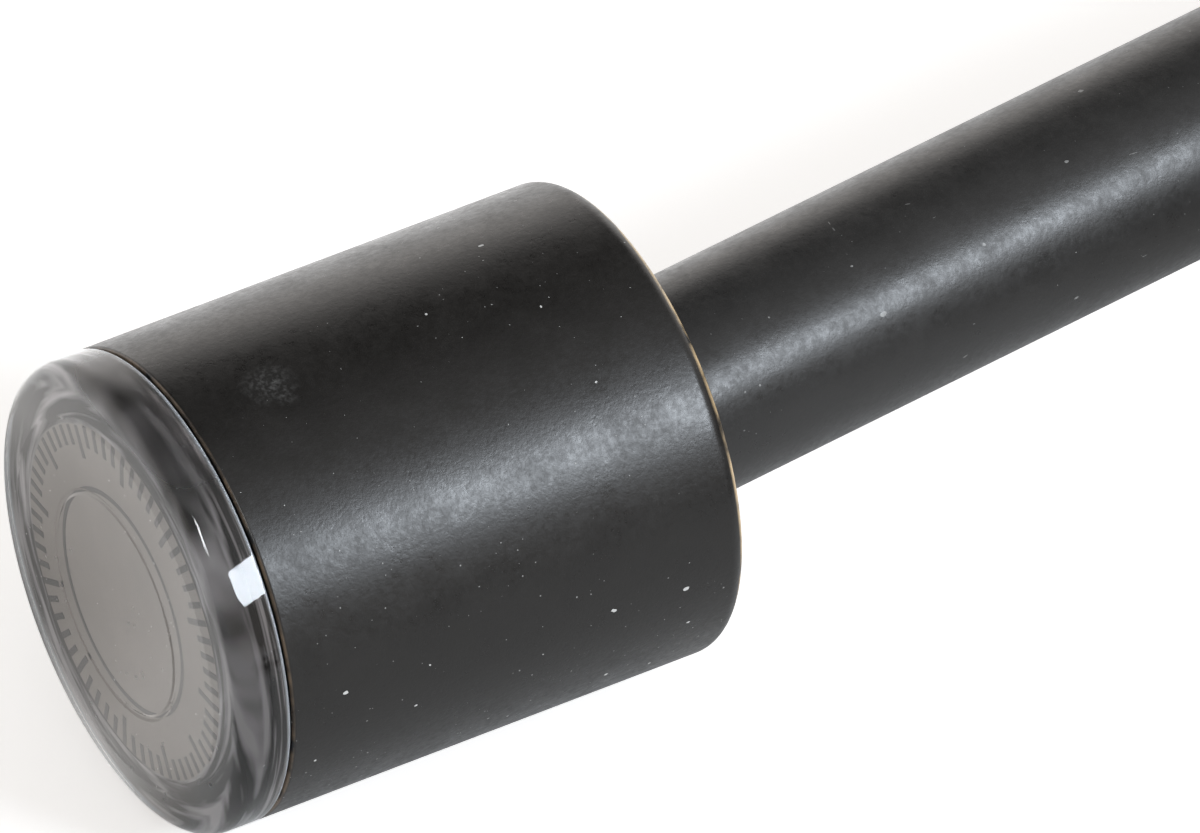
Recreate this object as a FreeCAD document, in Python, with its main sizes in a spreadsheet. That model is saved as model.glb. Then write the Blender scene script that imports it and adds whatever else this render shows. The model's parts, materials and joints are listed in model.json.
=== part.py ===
"""A cable shutter release: a thumb-button head, a sheathed cable wound into a coil, and a screw-in tip.

Frame: +X runs along the head's axis from the thumb button to the cable, +Z is up. The origin is on the
floor, under the middle of the head, so the head's axis is one barrel radius above it. Sizes are in
millimetres. The button is drawn pressed home, so the pin at the tip stands out.
"""
import FreeCAD, Part
import math
import os

import Sketcher

V = FreeCAD.Vector

# Driving dimensions: name, millimetres (or a count, or degrees where the note says so), note
SIZES = [
    ("barrel_diameter", 12.0, "outside of the finger-grip barrel"),
    ("barrel_length", 12.5, "from the seam to the back face"),
    ("barrel_back_rounding", 0.6, "fillet round the back face"),
    ("barrel_front_bevel", 0.08, "bevel at the seam"),
    ("barrel_wall", 1.0, "wall round the chamber that guides the piston"),
    ("mouth_step", 0.2, "radial step where the mouth widens for the front bush"),
    ("rear_wall", 1.6, "wall behind the chamber"),
    ("rear_bush_room", 0.6, "radial room for the rear bush round the ferrule"),
    ("seam_gap", 0.1, "hairline between button and barrel when pressed"),
    ("cap_height", 1.4, "clear cap, seam to front face"),
    ("cap_rim_width", 1.25, "from the barrel's outside in to the flat of the front face"),
    ("cap_slope_drop", 0.16, "fall from the flat to the rounded rim"),
    ("cap_rim_rounding", 0.55, "fillet round the rim"),
    ("core_inset", 1.4, "from the barrel's outside in to the dark core's edge"),
    ("core_thickness", 0.7, "dark core"),
    ("stem_diameter", 4.0, "plunger stem"),
    ("stem_bore", 2.76, "bore of the plunger, over the guide tube"),
    ("stem_bore_start", 1.6, "from the seam to the blind end of that bore"),
    ("spigot_diameter", 2.4, "front spigot that carries the core"),
    ("piston_thickness", 0.8, "guiding flange of the plunger"),
    ("stroke_spare", 0.11, "room left at the stop washer at full travel"),
    ("bush_recess", 0.3, "front bush below the barrel's edge"),
    ("bush_length", 1.75, "front guide bush"),
    ("detent_width", 0.4, "section of the detent ring"),
    ("detent_depth", 0.2, "groove in the stem for the detent ring"),
    ("detent_setback", 0.7, "from the front of the bush to the ring"),
    ("detent_open_angle", 40.0, "degrees cut out of the detent ring"),
    ("washer_thickness", 0.3, "rubber stop washer"),
    ("spring_wire", 0.36, "return spring wire"),
    ("spring_small_radius", 2.0, "front end of the conical spring"),
    ("spring_room", 0.4, "from the spring's large end, at its wire's middle, to the chamber"),
    ("spring_turns", 3.25, "turns of the spring"),
    ("spring_nested_rise", 0.28, "axial length of the wire's line when nested"),
    ("seat_thickness", 0.3, "spring seat washer"),
    ("ferrule_flange", 0.5, "flange of the sheath ferrule, on the rear wall"),
    ("flange_room", 0.3, "room round that flange in the chamber"),
    ("ferrule_floor", 0.1, "floor of the sheath's socket behind the flange"),
    ("ferrule_length", 1.7, "ferrule from its front to its back"),
    ("ferrule_wall", 0.35, "wall round the sheath's socket"),
    ("sheath_room", 0.3, "room round the slanting sheath in its socket"),
    ("bush_flare", 0.3, "flare at the rear bush's mouth"),
    ("guide_tube_diameter", 2.6, "fixed tube inside the plunger"),
    ("guide_tube_bore", 1.4, "bore of that tube"),
    ("guide_tube_room", 0.25, "from the pressed nipple to the tube's front end"),
    ("wire_diameter", 1.0, "inner wire"),
    ("nipple_length", 1.0, "brass nipple on the wire's front end"),
    ("running_gap", 0.04, "radial gap of a sliding or turning fit"),
    ("press_gap", 0.03, "radial gap drawn at a pressed or cemented joint"),
    ("end_gap", 0.05, "axial gap drawn between pieces that butt"),
    ("sheath_diameter", 5.5, "outside of the cable's sheath"),
    ("coil_radius", 31.5, "outer turn of the coil, to the sheath's middle"),
    ("coil_step", 6.0, "steady inward step for each turn"),
    ("coil_layer", 6.0, "height between the two layers"),
    ("tie_thickness", 0.5, "strap round the coil"),
    ("tie_width", 4.0, "strap round the coil"),
    ("tie_gap", 0.3, "room between the strap and the sheath"),
    ("tip_height", 3.8, "axis of the tip above the floor"),
    ("sleeve_wall", 0.35, "tip ferrule round the sheath"),
    ("sleeve_length", 5.0, "tip ferrule over the sheath"),
    ("sleeve_bead", 0.25, "height of the crimp beads on the sleeve"),
    ("boot_length", 3.6, "strain relief behind the tip ferrule"),
    ("boot_wall", 0.55, "thick end of the strain relief"),
    ("boot_thin_wall", 0.2, "thin end of the strain relief"),
    ("tip_end_wall", 0.9, "solid end of the tip ferrule"),
    ("neck_diameter", 3.9, "neck on which the collar turns"),
    ("neck_length", 4.3, "that neck"),
    ("neck_bore", 2.5, "bore of the tip ferrule, for the pin bush"),
    ("clip_width", 0.4, "retaining clip on the neck"),
    ("clip_depth", 0.3, "groove of the retaining clip"),
    ("clip_height", 0.3, "clip above the neck"),
    ("clip_setback", 0.5, "from the clip's groove to the neck's end"),
    ("clip_open_angle", 70.0, "degrees cut out of the clip"),
    ("collar_diameter", 7.5, "grip collar of the tip"),
    ("collar_length", 5.2, "grip collar of the tip"),
    ("collar_gap", 0.15, "axial room behind the collar"),
    ("collar_bevel", 0.35, "bevels of the grip collar"),
    ("collar_grooves", 20, "count of grip grooves"),
    ("collar_groove_radius", 0.35, "grip grooves"),
    ("collar_groove_depth", 0.25, "grip grooves"),
    ("nose_shank_diameter", 4.8, "rear of the nose, pressed in the collar"),
    ("nose_root_diameter", 3.6, "thick end of the tapered nose"),
    ("nose_end_diameter", 3.0, "thin end of the tapered nose"),
    ("nose_length", 5.6, "tapered nose, from the collar's face"),
    ("nose_bore", 2.2, "clear bore round the pin"),
    ("nose_bevel", 0.2, "lead-in bevel of the nose"),
    ("pin_diameter", 1.9, "release pin in its bush"),
    ("pin_end_diameter", 1.5, "free end of the release pin"),
    ("pin_reach", 6.5, "how far the pin stands out when pressed"),
    ("pin_rounding", 0.25, "rounding of the pin's end"),
    ("pin_start", 2.0, "from the sheath's end to the pin's rear end"),
    ("tip_wire_reach", 2.2, "wire behind the sheath's end"),
    ("wire_grip", 1.2, "wire held inside the pin"),
    ("tail_bore_depth", 8.5, "hollow of the sheath's last stretch"),
    ("tail_room", 0.15, "radial room round the pin in that hollow"),
]

# Places that follow from the photograph and from how the cable is put away
EXIT_YAW = 6.9          # degrees that the cable leans from the head's axis, towards +Y
STRAIGHT_RUN = 30.0     # the straight stretch that the photograph shows, and a little more
COIL_MIDDLE_X = 63.0    # the coil's axis
LEAD_LINE_Y = 4.2       # where the cable runs into the coil
COIL_STUB = 5.5         # straight ends of the coil, one sheath diameter long
LEAD_LAST_RUN = 9.0     # run into the coil, on the floor layer
TAIL_FIRST_RUN = 12.0   # run out of the coil
TAIL_DROP_RUN = 18.0    # run that comes down to the tip's height
TAIL_LAST_RUN = 16.0    # run into the tip
COIL_TURNS = 2.5
COIL_EASE = 0.25        # turns before the middle in which the coil eases from inwards to outwards
CLIMB_TURNS = 0.5       # turns in which the coil climbs to its upper layer
ARC_SHARE = 0.45        # an arc reaches this share of the shorter run beside it
BEAD_SHARES = (0.62, 0.2)    # places of the crimp beads along the tip ferrule's sleeve
BOOT_TAPER_SHARE = 0.6       # share of the strain relief that tapers
NEAR = 1e-4             # places closer than this are the same place

document = FreeCAD.newDocument("CableRelease")
sheet = document.addObject("Spreadsheet::Sheet", "Sizes")


class Size:
    """A length with its number and the sheet expression that it comes from."""

    def __init__(self, number, text):
        self.number = number
        self.text = text

    def joined(self, other, sign, number):
        text = other.text if isinstance(other, Size) else f"{float(other)}"
        return Size(number, f"({self.text} {sign} {text})")

    def __add__(self, other):
        return self.joined(other, "+", self.number + float(other))

    def __sub__(self, other):
        return self.joined(other, "-", self.number - float(other))

    def __mul__(self, other):
        return self.joined(other, "*", self.number * float(other))

    def __truediv__(self, other):
        return self.joined(other, "/", self.number / float(other))

    def root(self):
        return Size(math.sqrt(self.number), f"sqrt({self.text})")

    def __float__(self):
        return float(self.number)


class Table:
    """The driving dimensions by name."""


def fill_sheet():
    """Writes the driving dimensions to the sheet and returns them by name."""
    table = Table()
    for row, (name, number, note) in enumerate(SIZES, start=1):
        sheet.set(f"A{row}", name)
        sheet.set(f"B{row}", str(number))
        sheet.set(f"C{row}", note)
        sheet.setAlias(f"B{row}", name)
        setattr(table, name, Size(number, f"Sizes.{name}"))
    document.recompute()
    return table


s = fill_sheet()
ZERO = Size(0.0, "0")

# Shared radii of the head, all from the barrel's outside
barrel_radius = s.barrel_diameter / 2
chamber_radius = barrel_radius - s.barrel_wall
mouth_radius = chamber_radius + s.mouth_step
flange_radius = chamber_radius - s.flange_room
core_radius = barrel_radius - s.core_inset
spring_large_radius = chamber_radius - s.spring_room

# Shared places along the head's axis, counted from the seam, and along the tip, from the sheath's end
chamber_end = s.barrel_length - s.rear_wall
flange_front = chamber_end - s.ferrule_flange
seat_front = flange_front - s.end_gap - s.seat_thickness
piston_back = seat_front - s.spring_nested_rise - s.spring_wire - s.end_gap * 2
piston_front = piston_back - s.piston_thickness
bush_back = s.bush_recess + s.bush_length
washer_front = bush_back + s.end_gap
washer_back = washer_front + s.washer_thickness
stroke = piston_front - washer_back - s.stroke_spare
detent_front = s.bush_recess + s.detent_setback
nipple_start = s.stem_bore_start + s.end_gap
guide_tube_start = nipple_start + s.nipple_length + s.guide_tube_room
socket_floor = chamber_end + s.ferrule_floor
socket_diameter = s.sheath_diameter + s.sheath_room * 2
ferrule_diameter = socket_diameter + s.ferrule_wall * 2
rear_hole_radius = ferrule_diameter / 2 + s.rear_bush_room
head_half = (s.barrel_length + s.seam_gap + s.cap_height) / 2
seam_x = head_half - s.barrel_length
axis_height = s.barrel_diameter / 2
sheath_height = s.sheath_diameter / 2 + s.tie_thickness + s.tie_gap
collar_start = s.tip_end_wall + s.collar_gap
neck_end = s.tip_end_wall + s.neck_length
clip_start = neck_end - s.clip_setback - s.clip_width
face_place = collar_start + s.collar_length
nose_end_place = face_place + s.nose_length


def body_on_axis(label, start, tip=False):
    """A body whose own X axis is the head's or the tip's, placed at its start along that axis."""
    body = document.addObject("PartDesign::Body", label)
    body.Label = label
    if tip:
        turn = FreeCAD.Rotation(V(0, 0, 1), 180)
        body.Placement = FreeCAD.Placement(V(TIP_X - float(start), TIP_Y, float(s.tip_height)), turn)
        body.setExpression("Placement.Base.x", f"{TIP_X} - {start.text}")
        body.setExpression("Placement.Base.y", f"{COIL_MIDDLE_Y_TEXT} - {s.coil_radius.text}")
        body.setExpression("Placement.Base.z", s.tip_height.text)
        return body
    place = seam_x + start
    body.Placement.Base = V(float(place), 0, float(axis_height))
    body.setExpression("Placement.Base.x", place.text)
    body.setExpression("Placement.Base.z", axis_height.text)
    return body


def origin_plane(body, role):
    """One of a body's own origin planes."""
    return next(f for f in body.Origin.OriginFeatures if f.Role == role)


def sketch_in(body, role, name):
    """A sketch on one of a body's own origin planes."""
    sketch = body.newObject("Sketcher::SketchObject", name)
    sketch.AttachmentSupport = [(origin_plane(body, role), "")]
    sketch.MapMode = "FlatFace"
    return sketch


def bind_point(sketch, line, across, up):
    """Ties the start of a line to its two sizes, or to an axis where a size is nothing."""
    for kind, place, axis in (("DistanceX", across, -2), ("DistanceY", up, -1)):
        if place is ZERO:
            sketch.addConstraint(Sketcher.Constraint("PointOnObject", line, 1, axis))
            continue
        number = sketch.addConstraint(Sketcher.Constraint(kind, -1, 1, line, 1, float(place)))
        sketch.setExpression(f"Constraints[{number}]", place.text)


def draw_outline(sketch, points):
    """Draws a closed outline of straight lines through points given as sizes."""
    ends = points[1:] + points[:1]
    first = sketch.GeometryCount
    for (x0, y0), (x1, y1) in zip(points, ends):
        sketch.addGeometry(Part.LineSegment(V(float(x0), float(y0), 0), V(float(x1), float(y1), 0)), False)
    count = len(points)
    for i in range(count):
        after = first + (i + 1) % count
        sketch.addConstraint(Sketcher.Constraint("Coincident", first + i, 2, after, 1))
    for i, (x, y) in enumerate(points):
        bind_point(sketch, first + i, x, y)


def turned(label, start, outline, tip=False, open_angle=None):
    """A turned piece: an outline of (place along the axis, radius) turned about the axis."""
    body = body_on_axis(label, start, tip=tip)
    sketch = sketch_in(body, "XY_Plane", f"{label}_outline")
    draw_outline(sketch, outline)
    turning = body.newObject("PartDesign::Revolution", f"{label}_turning")
    turning.Profile = sketch
    turning.ReferenceAxis = (sketch, ["H_Axis"])
    turning.Angle = 360.0
    if open_angle is not None:
        turning.Angle = 360.0 - float(open_angle)
        turning.setExpression("Angle", f"360 - {open_angle.text}")
    sketch.Visibility = False
    document.recompute()
    return body


def ring_edges(shape, place, radius):
    """Names of the circular edges about the body's X axis at one place and radius."""
    names = []
    for i, edge in enumerate(shape.Edges, start=1):
        curve = edge.Curve
        if not isinstance(curve, Part.Circle):
            continue
        if abs(curve.Radius - radius) < NEAR and abs(curve.Center.x - place) < NEAR:
            names.append(f"Edge{i}")
    return names


def dress_edge(body, kind, place, radius, size):
    """A fillet or bevel on the circular edges at one place and radius of a turned piece."""
    base = body.Tip
    feature = body.newObject(f"PartDesign::{kind}", f"{body.Label}_{kind.lower()}")
    feature.Base = (base, ring_edges(base.Shape, float(place), float(radius)))
    name = "Radius" if kind == "Fillet" else "Size"
    setattr(feature, name, float(size))
    feature.setExpression(name, size.text)
    document.recompute()


def block(start, end, inner, outer):
    """The outline of a plain ring between two places along the axis and two radii."""
    return [(start, inner), (end, inner), (end, outer), (start, outer)]


def make_barrel():
    """The grip: a cup with a stepped mouth, a guiding chamber and a rear wall with its hole."""
    length, outer = s.barrel_length, barrel_radius
    mouth, chamber, hole = mouth_radius + s.press_gap, chamber_radius, rear_hole_radius
    body = turned("barrel", ZERO, [
        (ZERO, outer), (length, outer), (length, hole), (chamber_end, hole),
        (chamber_end, chamber), (bush_back, chamber), (bush_back, mouth), (ZERO, mouth),
    ])
    dress_edge(body, "Fillet", length, outer, s.barrel_back_rounding)
    dress_edge(body, "Chamfer", ZERO, outer, s.barrel_front_bevel)


def make_button():
    """The clear cap, the dark core that it covers, and the plunger that carries them."""
    cap_start = ZERO - s.seam_gap - s.cap_height
    rim, face = barrel_radius, barrel_radius - s.cap_rim_width
    recess = core_radius + s.press_gap
    recess_floor = s.cap_height - s.core_thickness - s.end_gap
    cap = turned("thumb_cap", cap_start, [
        (ZERO, ZERO), (recess_floor, ZERO), (recess_floor, recess), (s.cap_height, recess),
        (s.cap_height, rim), (s.cap_slope_drop, rim), (ZERO, face),
    ])
    dress_edge(cap, "Fillet", s.cap_slope_drop, rim, s.cap_rim_rounding)

    core_start = ZERO - s.seam_gap - s.core_thickness
    spigot = s.spigot_diameter / 2
    turned("button_core", core_start,
           block(ZERO, s.core_thickness, spigot + s.press_gap, core_radius))

    # the plunger's own zero is the front of its spigot
    zero = core_start + s.end_gap
    shoulder = ZERO - s.seam_gap + s.end_gap - zero
    stem, bore = s.stem_diameter / 2, s.stem_bore / 2
    groove = stem - s.detent_depth
    groove_start = detent_front - zero - s.end_gap
    groove_end = groove_start + s.detent_width + s.end_gap * 2
    front, back = piston_front - zero, piston_back - zero
    piston = chamber_radius - s.running_gap
    turned("plunger", zero, [
        (ZERO, ZERO), (s.stem_bore_start - zero, ZERO), (s.stem_bore_start - zero, bore),
        (back, bore), (back, piston), (front, piston), (front, stem), (groove_end, stem),
        (groove_end, groove), (groove_start, groove), (groove_start, stem), (shoulder, stem),
        (shoulder, spigot), (ZERO, spigot),
    ])


def make_wire_end():
    """The inner wire's front end: a brass nipple seated in the plunger, and the wire in its tube."""
    wire = s.wire_diameter / 2
    turned("wire_nipple", nipple_start,
           block(ZERO, s.nipple_length, wire + s.press_gap, s.stem_bore / 2 - s.press_gap))
    wire_end = chamber_end - nipple_start
    turned("inner_wire", nipple_start, [(ZERO, ZERO), (wire_end, ZERO), (wire_end, wire), (ZERO, wire)])


def make_front_guides():
    """The front bush that the stem slides in, its detent ring, and the rubber stop washer."""
    bore = s.stem_diameter / 2 + s.running_gap
    outer = mouth_radius
    groove = bore + s.detent_width + s.end_gap
    groove_start = s.detent_setback - s.end_gap
    groove_end = s.detent_setback + s.detent_width + s.end_gap
    turned("guide_bush", s.bush_recess, [
        (ZERO, bore), (groove_start, bore), (groove_start, groove), (groove_end, groove),
        (groove_end, bore), (s.bush_length, bore), (s.bush_length, outer), (ZERO, outer),
    ])
    turned("detent_ring", detent_front, block(ZERO, s.detent_width, bore, bore + s.detent_width),
           open_angle=s.detent_open_angle)
    turned("stop_washer", washer_front,
           block(ZERO, s.washer_thickness, bore + s.running_gap, chamber_radius - s.running_gap * 2))


def make_rear_fittings():
    """The spring seat, the ferrule that holds the sheath, the fixed guide tube and the rear bush."""
    tube_outer, tube_inner = s.guide_tube_diameter / 2, s.guide_tube_bore / 2
    turned("spring_seat", seat_front,
           block(ZERO, s.seat_thickness, tube_outer + s.press_gap, flange_radius + s.press_gap))
    floor, socket = socket_floor - flange_front, socket_diameter / 2
    shank = ferrule_diameter / 2
    flange_back = s.ferrule_flange - s.end_gap
    turned("sheath_ferrule", flange_front, [
        (ZERO, tube_outer + s.press_gap), (floor, tube_outer + s.press_gap), (floor, socket),
        (s.ferrule_length, socket), (s.ferrule_length, shank), (flange_back, shank),
        (flange_back, flange_radius), (ZERO, flange_radius),
    ])
    turned("guide_tube", guide_tube_start,
           block(ZERO, socket_floor - guide_tube_start, tube_inner, tube_outer))
    inner, outer = shank + s.press_gap, rear_hole_radius - s.press_gap
    length = s.rear_wall - s.end_gap
    turned("rear_bush", chamber_end + s.end_gap, [
        (ZERO, inner), (length - s.bush_flare, inner), (length, inner + s.bush_flare / 2),
        (length, outer), (ZERO, outer),
    ])


def make_tip():
    """The tip: strain relief, ferrule with its neck, turning collar and tapered nose, bush and clip."""
    sheath = s.sheath_diameter / 2
    bore = sheath + s.end_gap
    sleeve = bore + s.sleeve_wall
    bead = sleeve + s.sleeve_bead
    neck, neck_bore = s.neck_diameter / 2, s.neck_bore / 2
    groove = neck - s.clip_depth
    length = s.sleeve_length

    # the ferrule's own zero is the rear edge of its sleeve
    wall, end = length + s.end_gap, length + neck_end
    clip, clip_end = length + clip_start - s.end_gap, length + clip_start + s.clip_width + s.end_gap
    outline = [
        (ZERO, bore), (wall, bore), (wall, neck_bore), (end, neck_bore), (end, neck),
        (clip_end, neck), (clip_end, groove), (clip, groove), (clip, neck),
        (length + s.tip_end_wall, neck), (length + s.tip_end_wall, sleeve),
    ]
    for share in BEAD_SHARES:
        middle = length * share
        outline += [
            (middle + s.sleeve_bead * 2, sleeve), (middle + s.sleeve_bead, bead),
            (middle - s.sleeve_bead, bead), (middle - s.sleeve_bead * 2, sleeve),
        ]
    turned("tip_ferrule", ZERO - length, outline + [(ZERO, sleeve)], tip=True)

    boot_start = ZERO - length - s.end_gap - s.boot_length
    turned("tip_boot", boot_start, [
        (ZERO, bore), (s.boot_length, bore), (s.boot_length, bore + s.boot_wall),
        (s.boot_length * BOOT_TAPER_SHARE, bore + s.boot_wall), (ZERO, bore + s.boot_thin_wall),
    ], tip=True)

    pin_bore = s.pin_diameter / 2 + s.running_gap
    bush_start = s.end_gap * 2
    turned("tip_bush", bush_start,
           block(ZERO, neck_end - bush_start, pin_bore, neck_bore - s.press_gap / 2), tip=True)
    turned("tip_clip", clip_start,
           block(ZERO, s.clip_width, groove + s.press_gap, neck + s.clip_height),
           tip=True, open_angle=s.clip_open_angle)


def make_collar():
    """The knurled collar, with grip grooves in a polar pattern, and the tapered nose pressed in it."""
    neck_room = s.neck_diameter / 2 + s.running_gap * 2
    clip_room = s.nose_shank_diameter / 2 + s.press_gap
    room_start = clip_start - s.collar_gap * 2 - collar_start
    outer = s.collar_diameter / 2
    body = turned("tip_collar", collar_start, [
        (ZERO, neck_room), (room_start, neck_room), (room_start, clip_room),
        (s.collar_length, clip_room), (s.collar_length, outer), (ZERO, outer),
    ], tip=True)
    dress_edge(body, "Chamfer", s.collar_length, outer, s.collar_bevel)
    dress_edge(body, "Chamfer", ZERO, outer, s.collar_bevel)

    sketch = sketch_in(body, "YZ_Plane", "grip_groove_outline")
    radius, lift = s.collar_groove_radius, s.collar_groove_radius - s.collar_groove_depth
    middle = outer + lift
    circle = sketch.addGeometry(Part.Circle(V(float(middle), 0, 0), V(0, 0, 1), float(radius)), False)
    sketch.addConstraint(Sketcher.Constraint("PointOnObject", circle, 3, -1))
    place = sketch.addConstraint(Sketcher.Constraint("DistanceX", -1, 1, circle, 3, float(middle)))
    sketch.setExpression(f"Constraints[{place}]", middle.text)
    width = sketch.addConstraint(Sketcher.Constraint("Radius", circle, float(radius)))
    sketch.setExpression(f"Constraints[{width}]", radius.text)
    groove = body.newObject("PartDesign::Pocket", "grip_groove")
    groove.Profile = sketch
    groove.Type = "ThroughAll"
    groove.Reversed = True
    document.recompute()
    pattern = body.newObject("PartDesign::PolarPattern", "grip_grooves")
    pattern.Originals = [groove]
    pattern.Axis = (sketch, ["N_Axis"])
    pattern.Angle = 360.0
    pattern.Occurrences = int(float(s.collar_grooves))
    pattern.setExpression("Occurrences", s.collar_grooves.text)
    body.Tip = pattern
    sketch.Visibility = False
    document.recompute()

    # the nose's own zero is the rear face of its shank, just clear of the neck's end
    zero = neck_end + s.collar_gap
    face = face_place - zero
    end = nose_end_place - zero
    nose = turned("tip_nose", zero, [
        (ZERO, s.nose_bore / 2), (end, s.nose_bore / 2), (end, s.nose_end_diameter / 2),
        (face, s.nose_root_diameter / 2), (face, s.nose_shank_diameter / 2),
        (ZERO, s.nose_shank_diameter / 2),
    ], tip=True)
    dress_edge(nose, "Chamfer", end, s.nose_end_diameter / 2, s.nose_bevel)


def make_pin():
    """The release pin, with a thinner free end, and the end of the wire that pushes it."""
    hole = s.wire_diameter / 2 + s.press_gap
    hole_end = s.wire_grip + s.end_gap
    guided, free = s.pin_diameter / 2, s.pin_end_diameter / 2
    end = nose_end_place + s.pin_reach - s.pin_start
    step = end - s.pin_reach - s.end_gap * 2
    body = turned("release_pin", s.pin_start, [
        (ZERO, hole), (hole_end, hole), (hole_end, ZERO), (end, ZERO), (end, free),
        (step, free), (step, guided), (ZERO, guided),
    ], tip=True)
    dress_edge(body, "Fillet", end, free, s.pin_rounding)
    wire = s.wire_diameter / 2
    length = s.tip_wire_reach + s.pin_start + s.wire_grip
    turned("tip_wire", ZERO - s.tip_wire_reach,
           [(ZERO, ZERO), (length, ZERO), (length, wire), (ZERO, wire)], tip=True)


def arc_between(start, corner, end):
    """The arc from start to end that touches both lines to the corner, which is as far from each."""
    half_chord = (end - start) * 0.5
    middle = start + half_chord
    lean = math.acos(min(1.0, half_chord.Length / (corner - start).Length))
    rise = half_chord.Length * math.tan(lean / 2)
    if rise < 1e-9:
        return Part.LineSegment(start, end)
    return Part.Arc(start, middle + (corner - middle).normalize() * rise, end)


def two_arcs(start, start_way, end, end_way):
    """Two arcs that meet smoothly and join two places in the two directions given."""
    gap, ways = end - start, start_way + end_way
    spread = 2 * (1 - start_way.dot(end_way))
    along = gap.dot(ways)
    reach = (math.sqrt(along ** 2 + spread * gap.dot(gap)) - along) / spread
    first, second = start + start_way * reach, end - end_way * reach
    meeting = (first + second) * 0.5
    return [arc_between(start, first, meeting), arc_between(meeting, second, end)]


def rounded_route(points):
    """Straight runs joined by tangent arcs, with the radius of each arc."""
    edges, radii, here = [], [], points[0]
    for before, corner, after in zip(points, points[1:], points[2:]):
        into, out = corner - before, after - corner
        reach = ARC_SHARE * min(into.Length, out.Length)
        start = corner - V(into).normalize() * reach
        end = corner + V(out).normalize() * reach
        edges += [Part.LineSegment(here, start), arc_between(start, corner, end)]
        radii.append(reach / math.tan(into.getAngle(out) / 2))
        here = end
    return edges + [Part.LineSegment(here, points[-1])], radii


def piped(edges, radius):
    """A round tube of one radius along a smooth chain of edges."""
    path = Part.Wire([edge.toShape() for edge in edges])
    start = path.Edges[0]
    way = start.tangentAt(start.FirstParameter)
    circle = Part.makeCircle(radius, start.valueAt(start.FirstParameter), way)
    pipe = path.makePipeShell([Part.Wire([circle])], True, False)
    return pipe, path


def least_gap(path, thickness, turn_length):
    """The least gap of a wound tube to itself, on points along its line."""
    count = 400
    points = path.discretize(count)
    step = path.Length / (count - 1)
    skip = int(turn_length / 2 / step)
    pairs = ((points[i], points[j]) for i in range(count) for j in range(i + skip, count))
    return min((a - b).Length for a, b in pairs) - thickness


def held_shape(label, shape):
    """A piece whose shape is set outright, with its own label and placement."""
    feature = document.addObject("Part::Feature", label)
    feature.Label = label
    feature.Shape = shape
    feature.Placement = FreeCAD.Placement()
    return feature


def compare_volume(label, shape, path, radius):
    """Prints a tube's volume beside its section times its length."""
    expected = math.pi * radius ** 2 * path.Length
    print(f"{label}: length {path.Length:.1f} mm, volume {shape.Volume:.1f}, section x length {expected:.1f}")


def spring_line(turns_done):
    """A place on the nested conical spring's line, after some turns from its front end."""
    share = turns_done / float(s.spring_turns)
    radius = float(s.spring_small_radius) + float(spring_large_radius - s.spring_small_radius) * share
    angle = 2 * math.pi * turns_done
    first = float(seam_x + piston_back + s.spring_wire / 2 + s.end_gap)
    x = first + float(s.spring_nested_rise) * share
    return V(x, radius * math.cos(angle), float(axis_height) + radius * math.sin(angle))


def inward_turns(turns_done):
    """How many steps inwards the coil has come: steady, and rounded where it turns outwards."""
    done = min(turns_done, COIL_TURNS - turns_done)
    late = max(0.0, done - (COIL_TURNS / 2 - COIL_EASE))
    return done - late ** 2 / (2 * COIL_EASE)


def coil_line(turns_done):
    """A place on the coil's line, clockwise from above: floor layer, climb, upper layer."""
    radius = float(s.coil_radius) - float(s.coil_step) * inward_turns(turns_done)
    climb = min(1.0, max(0.0, (turns_done - (COIL_TURNS - CLIMB_TURNS) / 2) / CLIMB_TURNS))
    height = float(sheath_height) + float(s.coil_layer) * climb ** 2 * (3 - 2 * climb)
    angle = math.pi / 2 - 2 * math.pi * turns_done
    middle_y = LEAD_LINE_Y - float(s.coil_radius)
    return V(COIL_MIDDLE_X + radius * math.cos(angle), middle_y + radius * math.sin(angle), height)


def wound(line, turns, first_way=None, last_way=None):
    """Arcs that follow a wound line, two for each quarter turn, with the end directions given."""
    quarters = int(round(turns * 4))
    small = 1e-4
    places = [line(turns * i / quarters) for i in range(quarters + 1)]
    ways = [
        (line(turns * i / quarters + small) - line(turns * i / quarters - small)).normalize()
        for i in range(quarters + 1)
    ]
    ways[0] = first_way or ways[0]
    ways[-1] = last_way or ways[-1]
    edges = []
    for i in range(quarters):
        edges += two_arcs(places[i], ways[i], places[i + 1], ways[i + 1])
    return edges


def make_spring():
    """The conical return spring, nested flat as it is when the button is pressed home."""
    wire = float(s.spring_wire) / 2
    turns = float(s.spring_turns)
    shape, path = piped(wound(spring_line, turns), wire)
    held_shape("return_spring", shape)
    compare_volume("return_spring", shape, path, wire)
    inner_turn = 2 * math.pi * float(s.spring_small_radius)
    print(f"return_spring: least gap to itself {least_gap(path, 2 * wire, inner_turn):.2f} mm")


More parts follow.
